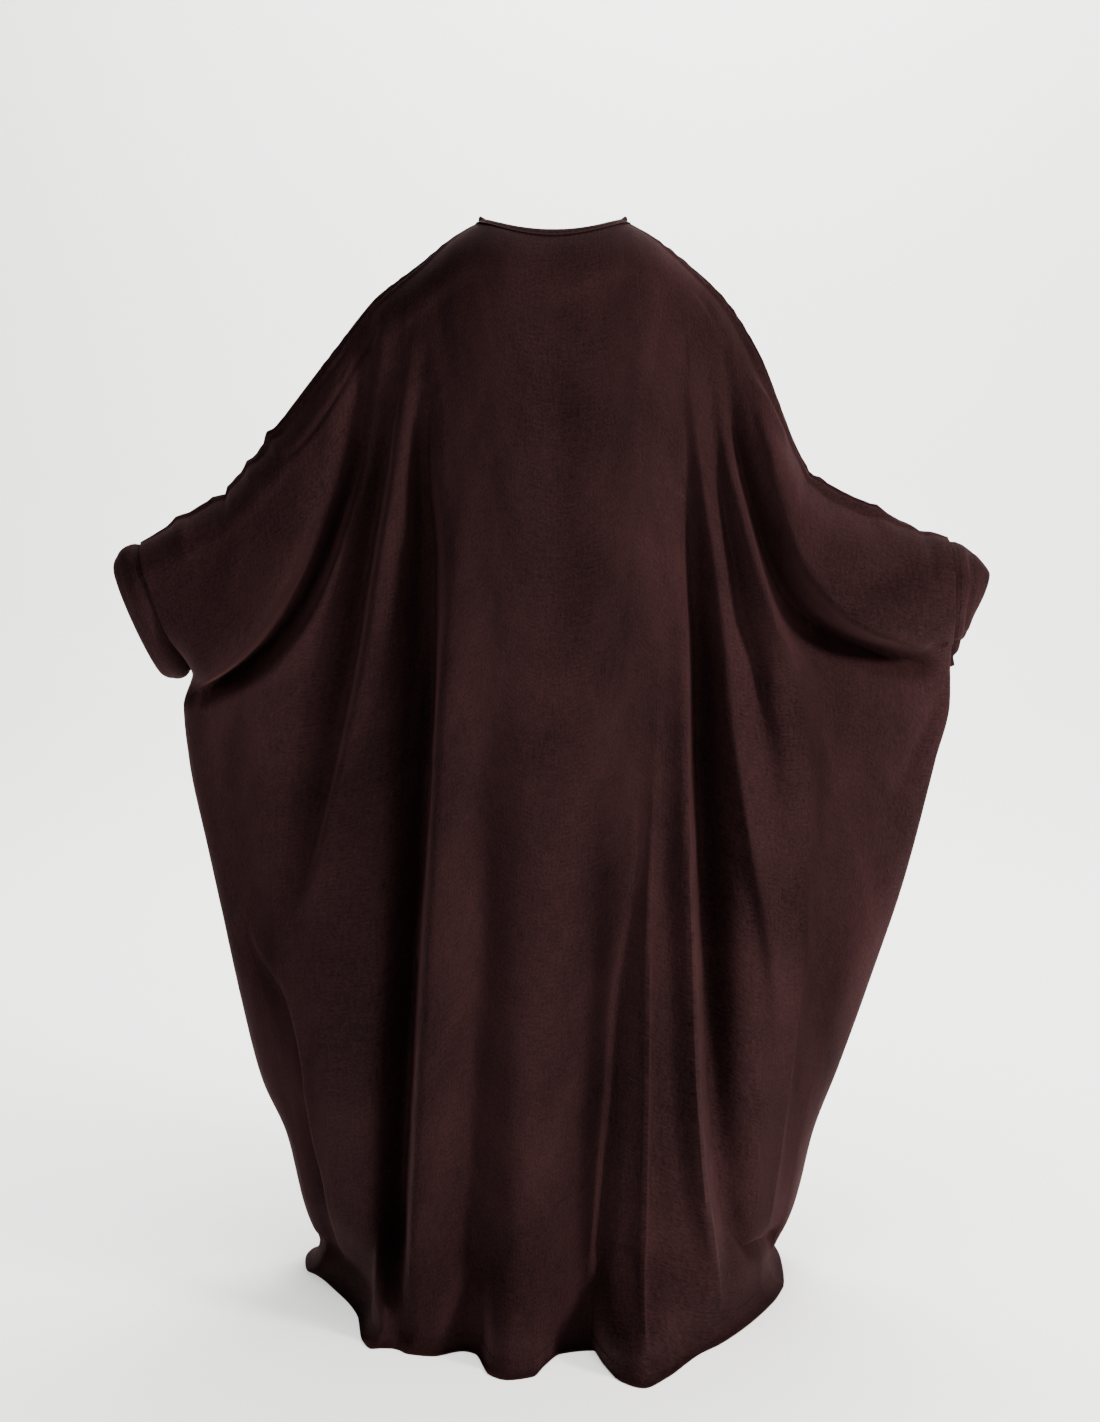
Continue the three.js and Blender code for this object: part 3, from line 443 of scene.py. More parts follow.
def lift(fold, x, z):
    """How far one fold lifts the cloth at x and z."""
    at = np.linspace(0, 1, FOLD_RUNS + 1)
    path = table(("x", "z"), fold["path"])
    path["at"] = np.linspace(0, 1, len(path["x"]))
    heights = {"at": np.linspace(0, 1, len(fold["height"])),
               "height": np.array(fold["height"], float)}
    px = read(path, "at", "x", at)
    pz = read(path, "at", "z", at)
    ph = read(heights, "at", "height", at)
    best = np.full(x.shape, np.inf)
    height = np.zeros(x.shape)
    to_right = np.zeros(x.shape, bool)
    for i in range(FOLD_RUNS):
        dx = px[i + 1] - px[i]
        dz = pz[i + 1] - pz[i]
        t = np.clip(((x - px[i]) * dx + (z - pz[i]) * dz) / (dx * dx + dz * dz), 0, 1)
        distance = np.hypot(x - px[i] - dx * t, z - pz[i] - dz * t)
        nearer = distance < best
        best = np.where(nearer, distance, best)
        height = np.where(nearer, mix(ph[i], ph[i + 1], t), height)
        to_right = np.where(nearer, dz * (x - px[i]) - dx * (z - pz[i]) < 0, to_right)
    t = best / np.where(to_right, fold["right"], fold["left"])
    rounded = np.exp(-t * t)
    sharp = np.exp(-SHARP_FALL * (np.hypot(t, SHARP_TOP) - SHARP_TOP))
    return height * mix(rounded, sharp, fold.get("peak", 0))


def hang(panel, x, z):
    """Distance of a panel from the plane of the sleeves, with the shift of its leaning folds."""
    sections = panel["sections"]
    middle = read(sections, "z", "middle", z)
    half = read(sections, "z", "half", z)
    wing = read(sections, "z", "wing", z)
    square = read(sections, "z", "square", z)
    depth = wing + (middle - wing) / (1 + np.abs(x / half) ** square)
    shift_x = np.zeros(x.shape)
    shift_z = np.zeros(x.shape)
    for fold in panel["folds"].values():
        raised = lift(fold, x, z)
        depth = depth + raised
        shift_x += fold.get("lean", 0) * raised
        shift_z += fold.get("sag", 0) * raised
    return depth, shift_x, shift_z


# Columns from one sleeve end to the other, and rows from the top edge to the hem. Each row
# has its share of the way over the sleeve's top, down the panel and along the trailing hem.
# The columns lie closer together at the folds with crisp edges.
NECK_COLUMNS = 24
PANEL_COLUMNS = 118
SIDE_COLUMNS = 20
ARM_ROWS = 22
ARM_ROWS_CROWD = 1.6
CUFF_ROWS = 22
BODY_ROWS = 92
BODY_ROWS_CROWD = 1.08
HEM_ROWS = 9
LEFT_CROWDED = (0.38, 0.42, 0.45, 0.55, 0.575, 0.64, 0.66)
RIGHT_CROWDED = (0.24, 0.31, 0.33, 0.39, 0.41, 0.47, 0.58, 0.6)
CROWD_REACH = 0.01
CROWD_SHARE = 1.8
CROWD_STEPS = 2001
# The turn of the hem on the floor: how far out and how far above the floor each row lies.
HEM_SHAPE = table(("at", "out", "above"), [
    (0, 0, 30),
    (0.35, 0.1, 19),
    (0.6, 0.3, 8.5),
    (0.78, 0.62, 2.2),
    (1, 1, 0.9),
])
# The columns come to follow the folds over this share of the panel's length. From HEM_FROM
# down, the cloth goes over to the hem's line within HEM_SETTLES.
FOLLOW_SHARE = 0.12
HEM_FROM = -1320
HEM_SETTLES = 88
# How the neck's edge dips to its middle, and how the panels close on each other at the sides.
NECK_DIP = 1.3
NECK_DROP_SHARE = 0.4
SIDE_CLOSES = 0.62
# The corners of the neck are smoothed this far across and down, and this strongly.
CORNER_REACH = 0.1
CORNER_FROM = 0.5
CORNER_DOWN = 0.3
CORNER_PASSES = 60
CORNER_PULL = 0.8


def half_columns(crowded):
    """The places of the columns from the middle of the neck to one sleeve end."""
    even = np.linspace(NECK_EDGE, 1 - SIDE_TAPER, CROWD_STEPS)
    crowd = 1 + sum(
        CROWD_SHARE * np.exp(-((even - place) / CROWD_REACH) ** 2) for place in crowded)
    filled = np.cumsum(crowd) - crowd[0]
    side_turn = np.linspace(0, math.pi / 2, SIDE_COLUMNS + 1)[1:]
    return np.concatenate([
        np.linspace(0, NECK_EDGE, NECK_COLUMNS + 1)[1:],
        np.interp(np.linspace(0, filled[-1], PANEL_COLUMNS + 1)[1:], filled, even),
        1 - SIDE_TAPER + SIDE_TAPER * np.sin(side_turn),
    ])


ACROSS = np.concatenate(
    [-half_columns(LEFT_CROWDED)[::-1], [0], half_columns(RIGHT_CROWDED)])
below_cuff = np.linspace(0, 1, BODY_ROWS + 1)[1:] ** BODY_ROWS_CROWD
ARM_SHARE = np.concatenate([
    np.linspace(0, 1, ARM_ROWS + 1)[:-1] ** ARM_ROWS_CROWD,
    np.ones(CUFF_ROWS + 1 + BODY_ROWS + HEM_ROWS),
])
DOWN_SHARE = np.concatenate([
    np.zeros(ARM_ROWS),
    np.linspace(0, CUFF_FOOT, CUFF_ROWS + 1),
    mix(CUFF_FOOT, 1, below_cuff),
    np.ones(HEM_ROWS),
])
HEM_SHARE = np.concatenate([
    np.zeros(ARM_ROWS + CUFF_ROWS + 1 + BODY_ROWS),
    np.linspace(0, 1, HEM_ROWS + 1)[1:],
])
LAST_SLEEVE_ROW = ARM_ROWS + CUFF_ROWS


def smooth(share):
    """A share from 0 to 1 that starts and ends gently."""
    share = np.clip(share, 0, 1)
    return share * share * (3 - 2 * share)


def plain_x(across, down):
    """Where a column would lie if it ran evenly from the top edge to the hem."""
    out = abs(across)
    side = -1 if across < 0 else 1
    arm = LEFT_ARM if across < 0 else RIGHT_ARM
    edge = LEFT_SIDE if across < 0 else RIGHT_SIDE
    top = read(arm, "across", "x", out) + read(arm, "across", "slant", out)
    if out < NECK_EDGE:
        top = side * NECK_HALF_WIDTH * math.sin(math.pi / 2 * out / NECK_EDGE)
    way = (read(edge, "down", "x", down) - edge["x"][0]) / (edge["x"][-1] - edge["x"][0])
    return mix(top, edge["x"][-1] * out, mix(down, way, out ** 2))


def followed(panel, down, z):
    """How far each column is moved sideways to run along the folds."""
    places = [-1] + [guide["across"] for guide in panel["guides"]] + [1]
    moves = [0 * z]
    for guide in panel["guides"]:
        path = table(("x", "z"), guide["path"])
        moves.append(read(path, "z", "x", z) - plain_x(guide["across"], down))
    moves.append(0 * z)
    moved = np.zeros(z.shape)
    for i in range(len(places) - 1):
        between = (ACROSS >= places[i]) & (ACROSS <= places[i + 1])
        share = (ACROSS[between] - places[i]) / (places[i + 1] - places[i])
        moved[between] = mix(moves[i][between], moves[i + 1][between], share[:, None])
    return moved * smooth(down / FOLLOW_SHARE)


def opened_share(down):
    """How far the sleeve end stays open, from 1 at the top of the cuff to 0 at its foot."""
    return np.cos(np.clip(down / CUFF_FOOT, 0, 1) * math.pi / 2)


def unit(directions):
    """Directions with the length 1."""
    return directions / np.linalg.norm(directions, axis=-1, keepdims=True)


def cloth(panel):
    """The middle of a panel's cloth, as points by column and row."""
    across = ACROSS[:, None] + 0 * DOWN_SHARE[None, :]
    arm = ARM_SHARE[None, :] + 0 * across
    down = DOWN_SHARE[None, :] + 0 * across
    hem = HEM_SHARE[None, :] + 0 * across
    out = np.abs(across)
    is_left = across < 0
    side = np.where(is_left, -1, 1)
    outwards = panel["outwards"]

    def over_arm(name):
        return np.where(
            is_left, read(LEFT_ARM, "across", name, out), read(RIGHT_ARM, "across", name, out))

    def edge(name, at):
        return np.where(
            is_left, read(LEFT_SIDE, "down", name, at), read(RIGHT_SIDE, "down", name, at))

    in_neck = out < NECK_EDGE
    turn = np.where(in_neck, math.pi / 2 * out / NECK_EDGE, math.pi / 2)
    fallen = NECK_FALL * np.cos(turn)
    neck_x = side * NECK_HALF_WIDTH * np.sin(turn)
    dip = ((1 - np.cos(fallen)) / (1 - math.cos(NECK_FALL))) ** NECK_DIP
    top_x = np.where(in_neck, neck_x, over_arm("x"))
    top_z = np.where(in_neck, -panel["neck_drop"] * dip, over_arm("z"))
    centre_drop = CENTRE_DROP - panel["neck_drop"] * NECK_DROP_SHARE
    full_drop = np.where(
        in_neck, mix(centre_drop, LEFT_ARM["drop"][0], np.sin(turn)), over_arm("drop"))
    seam = np.where(in_neck, 0, np.radians(over_arm("seam")))
    slant = np.where(in_neck, 0, over_arm("slant"))

    corner_x = edge("x", 1 + 0 * out)
    corner_z = edge("z", 1 + 0 * out)
    start_x = edge("x", 0 * out)
    start_z = edge("z", 0 * out)
    way_x = (edge("x", down) - start_x) / (corner_x - start_x)
    way_z = (edge("z", down) - start_z) / (corner_z - start_z)
    x = mix(top_x + slant, corner_x * out, mix(down, way_x, out ** 2))
    z = mix(top_z - full_drop, FLOOR + HEM_BEND, mix(down, way_z, out ** 2))
    x = x + followed(panel, down, z)

    # The side seam closes the panels below the cuff, and beside it the sleeve stays open.
    near = np.clip((out - (1 - SIDE_TAPER)) / SIDE_TAPER, 0, 1)
    closing = (1 - near ** 2) ** SIDE_CLOSES
    ring = np.where(down < CUFF_FOOT, mix(opened_share(down), 1, closing), closing)

    depth, shift_x, shift_z = hang(panel, x, z)
    body = np.stack([
        x + shift_x * ring,
        edge("y", down) * out ** 3 + outwards * depth * ring,
        np.maximum(FLOOR + HEM_BEND, z + shift_z * ring),
    ], -1)
    if "hem_line" in panel:
        behind = read(panel["hem_line"], "x", "depth", x)
        on_floor = outwards * behind * ring + edge("y", down) * out ** 3 * (1 - ring)
        body[..., 1] = mix(body[..., 1], on_floor, smooth((HEM_FROM - z) / HEM_SETTLES))

    # Over the sleeve, and round the neck, the cloth turns from the top edge into the panel.
    top = slice(0, ARM_ROWS)
    neck_turn = NECK_START * np.cos(turn)
    start = np.where(in_neck, neck_turn, -outwards * seam)
    angle = mix(start, math.pi / 2, arm)
    back_depth = hang(BACK, x[:, top], z[:, top])[0]
    reach = np.where(angle[:, top] < 0, -np.abs(back_depth), np.abs(depth[:, top]))
    rise = (np.sin(angle) - np.sin(start)) / (1 - np.sin(start))
    fall = (np.cos(start) - np.cos(angle)) / np.cos(start)
    neck_depth = panel["neck_depth"] * np.sin(fallen) / math.sin(NECK_FALL)
    round_neck = np.stack([
        top_x + shift_x * rise,
        outwards * mix(neck_depth, depth, rise),
        top_z - full_drop * fall + shift_z * rise,
    ], -1)
    shift = np.clip(np.sin(angle), 0, 1)
    round_arm = np.stack([
        top_x + slant * (1 - np.cos(angle)) + shift_x * shift,
        outwards * np.abs(np.sin(angle)) * np.pad(
            reach, ((0, 0), (0, depth.shape[1] - ARM_ROWS))),
        top_z - full_drop * (1 - np.cos(angle)) + shift_z * shift,
    ], -1)
    turned = np.where(in_neck[..., None], round_neck, round_arm)
    points = np.where((arm < 1)[..., None], turned, body)

    # Beside the ends of the neck the cloth rounds softly from the shoulder into the neck.
    near_corner = np.exp(-((out - NECK_EDGE) / CORNER_REACH) ** 2)
    pull = CORNER_PULL * (near_corner * smooth(arm / CORNER_FROM) * (down < CORNER_DOWN))
    for _ in range(CORNER_PASSES):
        between = (points[:-2] + points[2:]) / 2
        points[1:-1] = mix(points[1:-1], between, pull[1:-1, :, None])

    # The hem turns outwards on the floor.
    level = points.copy()
    level[..., 2] = 0
    trailing = hem > 0
    trail = HEM_TRAIL * read(HEM_SHAPE, "at", "out", hem)
    points = points + np.where(trailing, trail, 0)[..., None] * unit(level)
    points[..., 2] = np.where(
        trailing, FLOOR + read(HEM_SHAPE, "at", "above", hem), points[..., 2])
    return points


def normals_of(points, outwards):
    """Directions square to the cloth, out of the garment."""
    across = np.gradient(points, axis=0)
    down = np.gradient(points, axis=1)
    return unit(np.cross(across, down) * outwards)


# Small gathers where both panels are caught over the sleeves.
GATHERS = {
    "left elbow gather": dict(
        left=9, right=9, peak=0.4,
        path=[(-372, -278), (-356, -300), (-344, -330)],
        height=[6, 4, 0]),
    "left second gather": dict(
        left=8, right=8, peak=0.4,
        path=[(-402, -318), (-392, -340), (-384, -366)],
        height=[5, 4, 0]),
    "left forearm notch": dict(
        left=9, right=7, peak=0.3,
        path=[(-440, -352), (-436, -376), (-440, -402)],
        height=[-7, -5, 0]),
    "left wrist fold": dict(
        left=10, right=9, peak=0.3,
        path=[(-500, -390), (-486, -420), (-470, -470)],
        height=[5, 4, 0]),
    "right elbow gather": dict(
        left=10, right=9, peak=0.3,
        path=[(342, -326), (330, -352), (322, -384)],
        height=[-4, -4, 0]),
    "right forearm fold": dict(
        left=9, right=10, peak=0.3,
        path=[(428, -378), (440, -398), (462, -416)],
        height=[4, 4, 0]),
    "right wrist fold": dict(
        left=8, right=8, peak=0.3,
        path=[(492, -398), (500, -430), (502, -470)],
        height=[-4, -4, 0]),
}
# How far the seam allowance stands up along the seam over each sleeve, by column.
RIGHT_SEAM = table(("across", "stands"), [
    (0.22, 0), (0.4, 2), (0.54, 4), (0.63, 8), (0.7, 6), (0.76, 2), (0.81, 8), (0.88, 9),
    (0.94, 2), (1, 0)])
LEFT_SEAM = table(("across", "stands"), [
    (0.22, 0), (0.5, 2), (0.62, 3), (0.72, 3), (0.78, 5), (0.83, 2), (0.9, 4), (1, 0)])
# The allowance is ALLOWANCE_HALF wide on each side of a line beside the groove of the seam.
ALLOWANCE_STANDS = 1.8
ALLOWANCE_FROM_SEAM = 5
ALLOWANCE_HALF = 5
SEAM_GROOVE = 5.5
GROOVE_HALF = 3.2
# Puckers along the seam, whose size and spacing change over two uneven lengths.
PUCKER_LENGTH = 23
PUCKER_HEIGHT = 0.9
PUCKERS_CHANGE = (37, 101)
PUCKERS_START = 1.3
# The length of cloth over the sleeve's top, and a distance at which a seam no longer shows.
OVER_SLEEVE = 110
FAR_FROM_SEAM = 200.0
# Creases fade out over these shares of a panel beside its side seams and its top edge, and
# over this height above the floor.
FADE_AT_SIDE = 0.03
FADE_AT_TOP = 0.3
FADE_FROM_FLOOR = 3
FADE_AT_FLOOR = 40
# Soft slack in the cloth, long down the panel, and finer ripples over it.
SLACK_WIDTH = 70
SLACK_LENGTH = 260
SLACK_HEIGHT = 2.0
RIPPLE_WIDTH = 26
RIPPLE_LENGTH = 60
RIPPLE_HEIGHT = 0.55
RIPPLE_SEED = 7


def creased(panel):
    """A panel's cloth with its finer creases, its seams and the soft unevenness of crepe."""
    points = cloth(panel)
    normals = normals_of(points, panel["outwards"])
    x = points[..., 0]
    z = points[..., 2]
    pressed = [*panel["creases"].values(), *GATHERS.values()]
    raised = sum(lift(crease, x, z) for crease in pressed)

    # Both edges of a seam lie on one line, so every crease fades out beside it.
    out = np.abs(ACROSS)[:, None] + 0 * z
    arm = ARM_SHARE[None, :] + 0 * z
    down = DOWN_SHARE[None, :] + 0 * z
    beside = np.clip((1 - out) / FADE_AT_SIDE, 0, 1)
    beside = np.where(down < CUFF_FOOT, mix(beside, 1, opened_share(down)), beside)
    from_top = np.where(arm < 1, np.clip(arm / FADE_AT_TOP, 0, 1), 1)
    over_arm = np.where(out > NECK_EDGE, 1, 0.0)
    raised = raised * beside
    stand = np.where(
        ACROSS[:, None] < 0,
        read(LEFT_SEAM, "across", "stands", out), read(RIGHT_SEAM, "across", "stands", out))
    steps = np.linalg.norm(np.diff(points[:, 0], axis=0), axis=-1)
    along = np.concatenate([[0], np.cumsum(steps)])[:, None]
    uneven = (np.sin(along / PUCKERS_CHANGE[0] + PUCKERS_START)
              * np.sin(along / PUCKERS_CHANGE[1]))
    puckers = PUCKER_HEIGHT * uneven * np.sin(2 * math.pi * along / PUCKER_LENGTH + 2 * uneven)
    to_seam = np.where(arm < 1, arm * OVER_SLEEVE, FAR_FROM_SEAM)
    from_allowance = (to_seam - ALLOWANCE_FROM_SEAM) / ALLOWANCE_HALF
    seam_raised = over_arm * (
        (stand + ALLOWANCE_STANDS + puckers) * np.exp(-from_allowance ** 2)
        - SEAM_GROOVE * np.exp(-(to_seam / GROOVE_HALF) ** 2))
    slack = np.empty(x.shape)
    seed = panel["seed"]
    for i in range(x.shape[0]):
        for j in range(x.shape[1]):
            place = Vector((x[i, j] / SLACK_WIDTH, z[i, j] / SLACK_LENGTH, seed))
            fine = Vector(
                (x[i, j] / RIPPLE_WIDTH, z[i, j] / RIPPLE_LENGTH, seed + RIPPLE_SEED))
            slack[i, j] = (SLACK_HEIGHT * noise.noise(place)
                           + RIPPLE_HEIGHT * noise.noise(fine))
    total = raised + seam_raised + slack * beside * from_top
    in_air = np.clip((z - FLOOR - FADE_FROM_FLOOR) / FADE_AT_FLOOR, 0, 1)
    return points + normals * (total * in_air)[..., None]


# Faces that meet at more than this angle keep a sharp edge.
CREASE_ANGLE = math.radians(62)


def shell(name, points, normals, thick, uv, ring=False):
    """A closed sheet of cloth round a grid of points, as an object."""
    wide, tall = points.shape[:2]
    count = wide * tall
    outer = points + normals * thick[..., None] / 2
    inner = points - normals * thick[..., None] / 2
    places = np.concatenate([outer.reshape(-1, 3), inner.reshape(-1, 3)]) / 1000
    index = np.arange(count).reshape(wide, tall)
    if ring:
        index = np.vstack([index, index[:1]])
        loops = [index[:, 0], index[::-1, -1]]
    else:
        border = np.concatenate(
            [index[:, 0], index[-1, 1:], index[-2::-1, -1], index[0, -2:0:-1]])
        loops = [np.append(border, border[0])]
    skin = np.stack(
        [index[:-1, :-1], index[:-1, 1:], index[1:, 1:], index[1:, :-1]], -1).reshape(-1, 4)
    faces = [skin, skin[:, ::-1] + count]
    for loop in loops:
        faces.append(np.stack([loop[:-1], loop[1:], loop[1:] + count, loop[:-1] + count], -1))
    faces = np.concatenate(faces)
    a, b, c, d = (places[faces[:, k]] for k in range(4))
    volume = np.einsum("ij,ij->", a, np.cross(b, c) + np.cross(c, d))
    if volume < 0:
        faces = faces[:, ::-1]
    mesh = bpy.data.meshes.new(name)
    mesh.from_pydata(places.tolist(), [], faces.tolist())
    corner = np.empty(len(mesh.loops), int)
    mesh.loops.foreach_get("vertex_index", corner)
    layer = mesh.uv_layers.new(name="cut")
    flat = np.concatenate([uv.reshape(-1, 2)] * 2) / 1000
    layer.data.foreach_set("uv", flat[corner].ravel())
    mesh.polygons.foreach_set("use_smooth", np.ones(len(faces), bool))
    mesh.set_sharp_from_angle(angle=CREASE_ANGLE)
    piece = bpy.data.objects.new(name, mesh)
    bpy.context.scene.collection.objects.link(piece)
    return piece


def cut_places(points):
    """Where each point of a panel lies on the flat cut."""
    steps = np.linalg.norm(np.diff(points, axis=1), axis=-1)
    along = np.concatenate([np.zeros((len(points), 1)), np.cumsum(steps, axis=1)], axis=1)
    sideways = ACROSS[:, None] * (CUT_WIDTH * 1000 / 2) + 0 * along
    return np.stack([sideways, -along], -1)


def linear(hex_colour):
    """An sRGB hex colour as linear light."""
    values = [int(hex_colour[i:i + 2], 16) / 255 for i in (1, 3, 5)]
    return [v / 12.92 if v <= 0.04045 else ((v + 0.055) / 1.055) ** 2.4 for v in values] + [1]


def add(tree, kind, settings=(), links=()):
    """Adds a node with its settings, and joins other nodes' outputs to its inputs."""
    node = tree.nodes.new(kind)
    for name, value in dict(settings).items():
        if isinstance(name, int) or name in node.inputs:
            node.inputs[name].default_value = value
        else:
            setattr(node, name, value)
    for name, source in dict(links).items():
        tree.links.new(source, node.inputs[name])
    return node


# Real crepe has a grain of about 0.6 mm and yarns finer than that, too fine for the render, so
# both are drawn coarser. A yarn shows over YARN_LENGTH, and the dye is uneven in wide clouds.
GRAIN = 3.2
YARN = 3.4
YARN_LENGTH = 26
DYE_CLOUD = 180


def crepe(name, dark, light):
    """Matt polyester crepe, piece-dyed: a pebbled face of hard-twisted yarn that gives soft,
    slightly reddish light where it turns away, and swallows light in its folds."""
    material = bpy.data.materials.new(name)
    material.use_nodes = True
    tree = material.node_tree
    face = tree.nodes["Principled BSDF"]
    cut = add(tree, "ShaderNodeUVMap", {"uv_map": "cut"})
    fine = 1000 / YARN
    long = 1000 / YARN_LENGTH
    pebble = add(tree, "ShaderNodeTexNoise",
                 {"Scale": 1000 / GRAIN, "Detail": 2.5, "Roughness": 0.65},
                 {"Vector": cut.outputs[0]})
    stretch = add(tree, "ShaderNodeMapping", {"Scale": (fine, long, 1)},
                  {"Vector": cut.outputs[0]})
    yarn = add(tree, "ShaderNodeTexNoise", {"Scale": 1, "Detail": 2},
               {"Vector": stretch.outputs[0]})
    crossing = add(tree, "ShaderNodeMapping", {"Scale": (long, fine, 1)},
                   {"Vector": cut.outputs[0]})
    weft = add(tree, "ShaderNodeTexNoise", {"Scale": 1, "Detail": 2},
               {"Vector": crossing.outputs[0]})
    threads = add(tree, "ShaderNodeMath", {"operation": "ADD"},
                  {0: yarn.outputs["Fac"], 1: weft.outputs["Fac"]})
    half = add(tree, "ShaderNodeMath", {"operation": "MULTIPLY", 1: 0.5}, {0: threads.outputs[0]})
    relief = add(tree, "ShaderNodeMix", {"data_type": "FLOAT", 0: 0.4},
                 {2: pebble.outputs["Fac"], 3: half.outputs[0]})
    dye = add(tree, "ShaderNodeTexNoise", {"Scale": 1000 / DYE_CLOUD, "Detail": 3},
              {"Vector": cut.outputs[0]})
    shade = add(tree, "ShaderNodeMix", {"data_type": "FLOAT", 0: 0.3},
                {2: relief.outputs[0], 3: dye.outputs["Fac"]})
    tone = add(tree, "ShaderNodeValToRGB", {}, {"Fac": shade.outputs[0]})
    tone.color_ramp.elements[0].position = 0.34
    tone.color_ramp.elements[0].color = linear(dark)
    tone.color_ramp.elements[1].position = 0.66
    tone.color_ramp.elements[1].color = linear(light)
    tree.links.new(tone.outputs["Color"], face.inputs["Base Color"])
    bump = add(tree, "ShaderNodeBump", {"Strength": 0.8, "Distance": 0.0012},
               {"Height": relief.outputs[0]})
    tree.links.new(bump.outputs["Normal"], face.inputs["Normal"])
    face.inputs["Roughness"].default_value = 0.82
    face.inputs["IOR"].default_value = 1.46
    face.inputs["Specular IOR Level"].default_value = 0.02
    face.inputs["Sheen Weight"].default_value = 0.1
    face.inputs["Sheen Roughness"].default_value = 0.35
    face.inputs["Sheen Tint"].default_value = linear("#b67c7c")
    return material


CREPE = crepe("polyester_crepe", "#0e0808", "#331f20")

back_points = creased(BACK)


def worn(piece, node, material):
    """Puts a sewn piece in place of its solid and gives it its material."""
    piece.data.materials.append(material)
    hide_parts(node)
    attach(piece, "root")


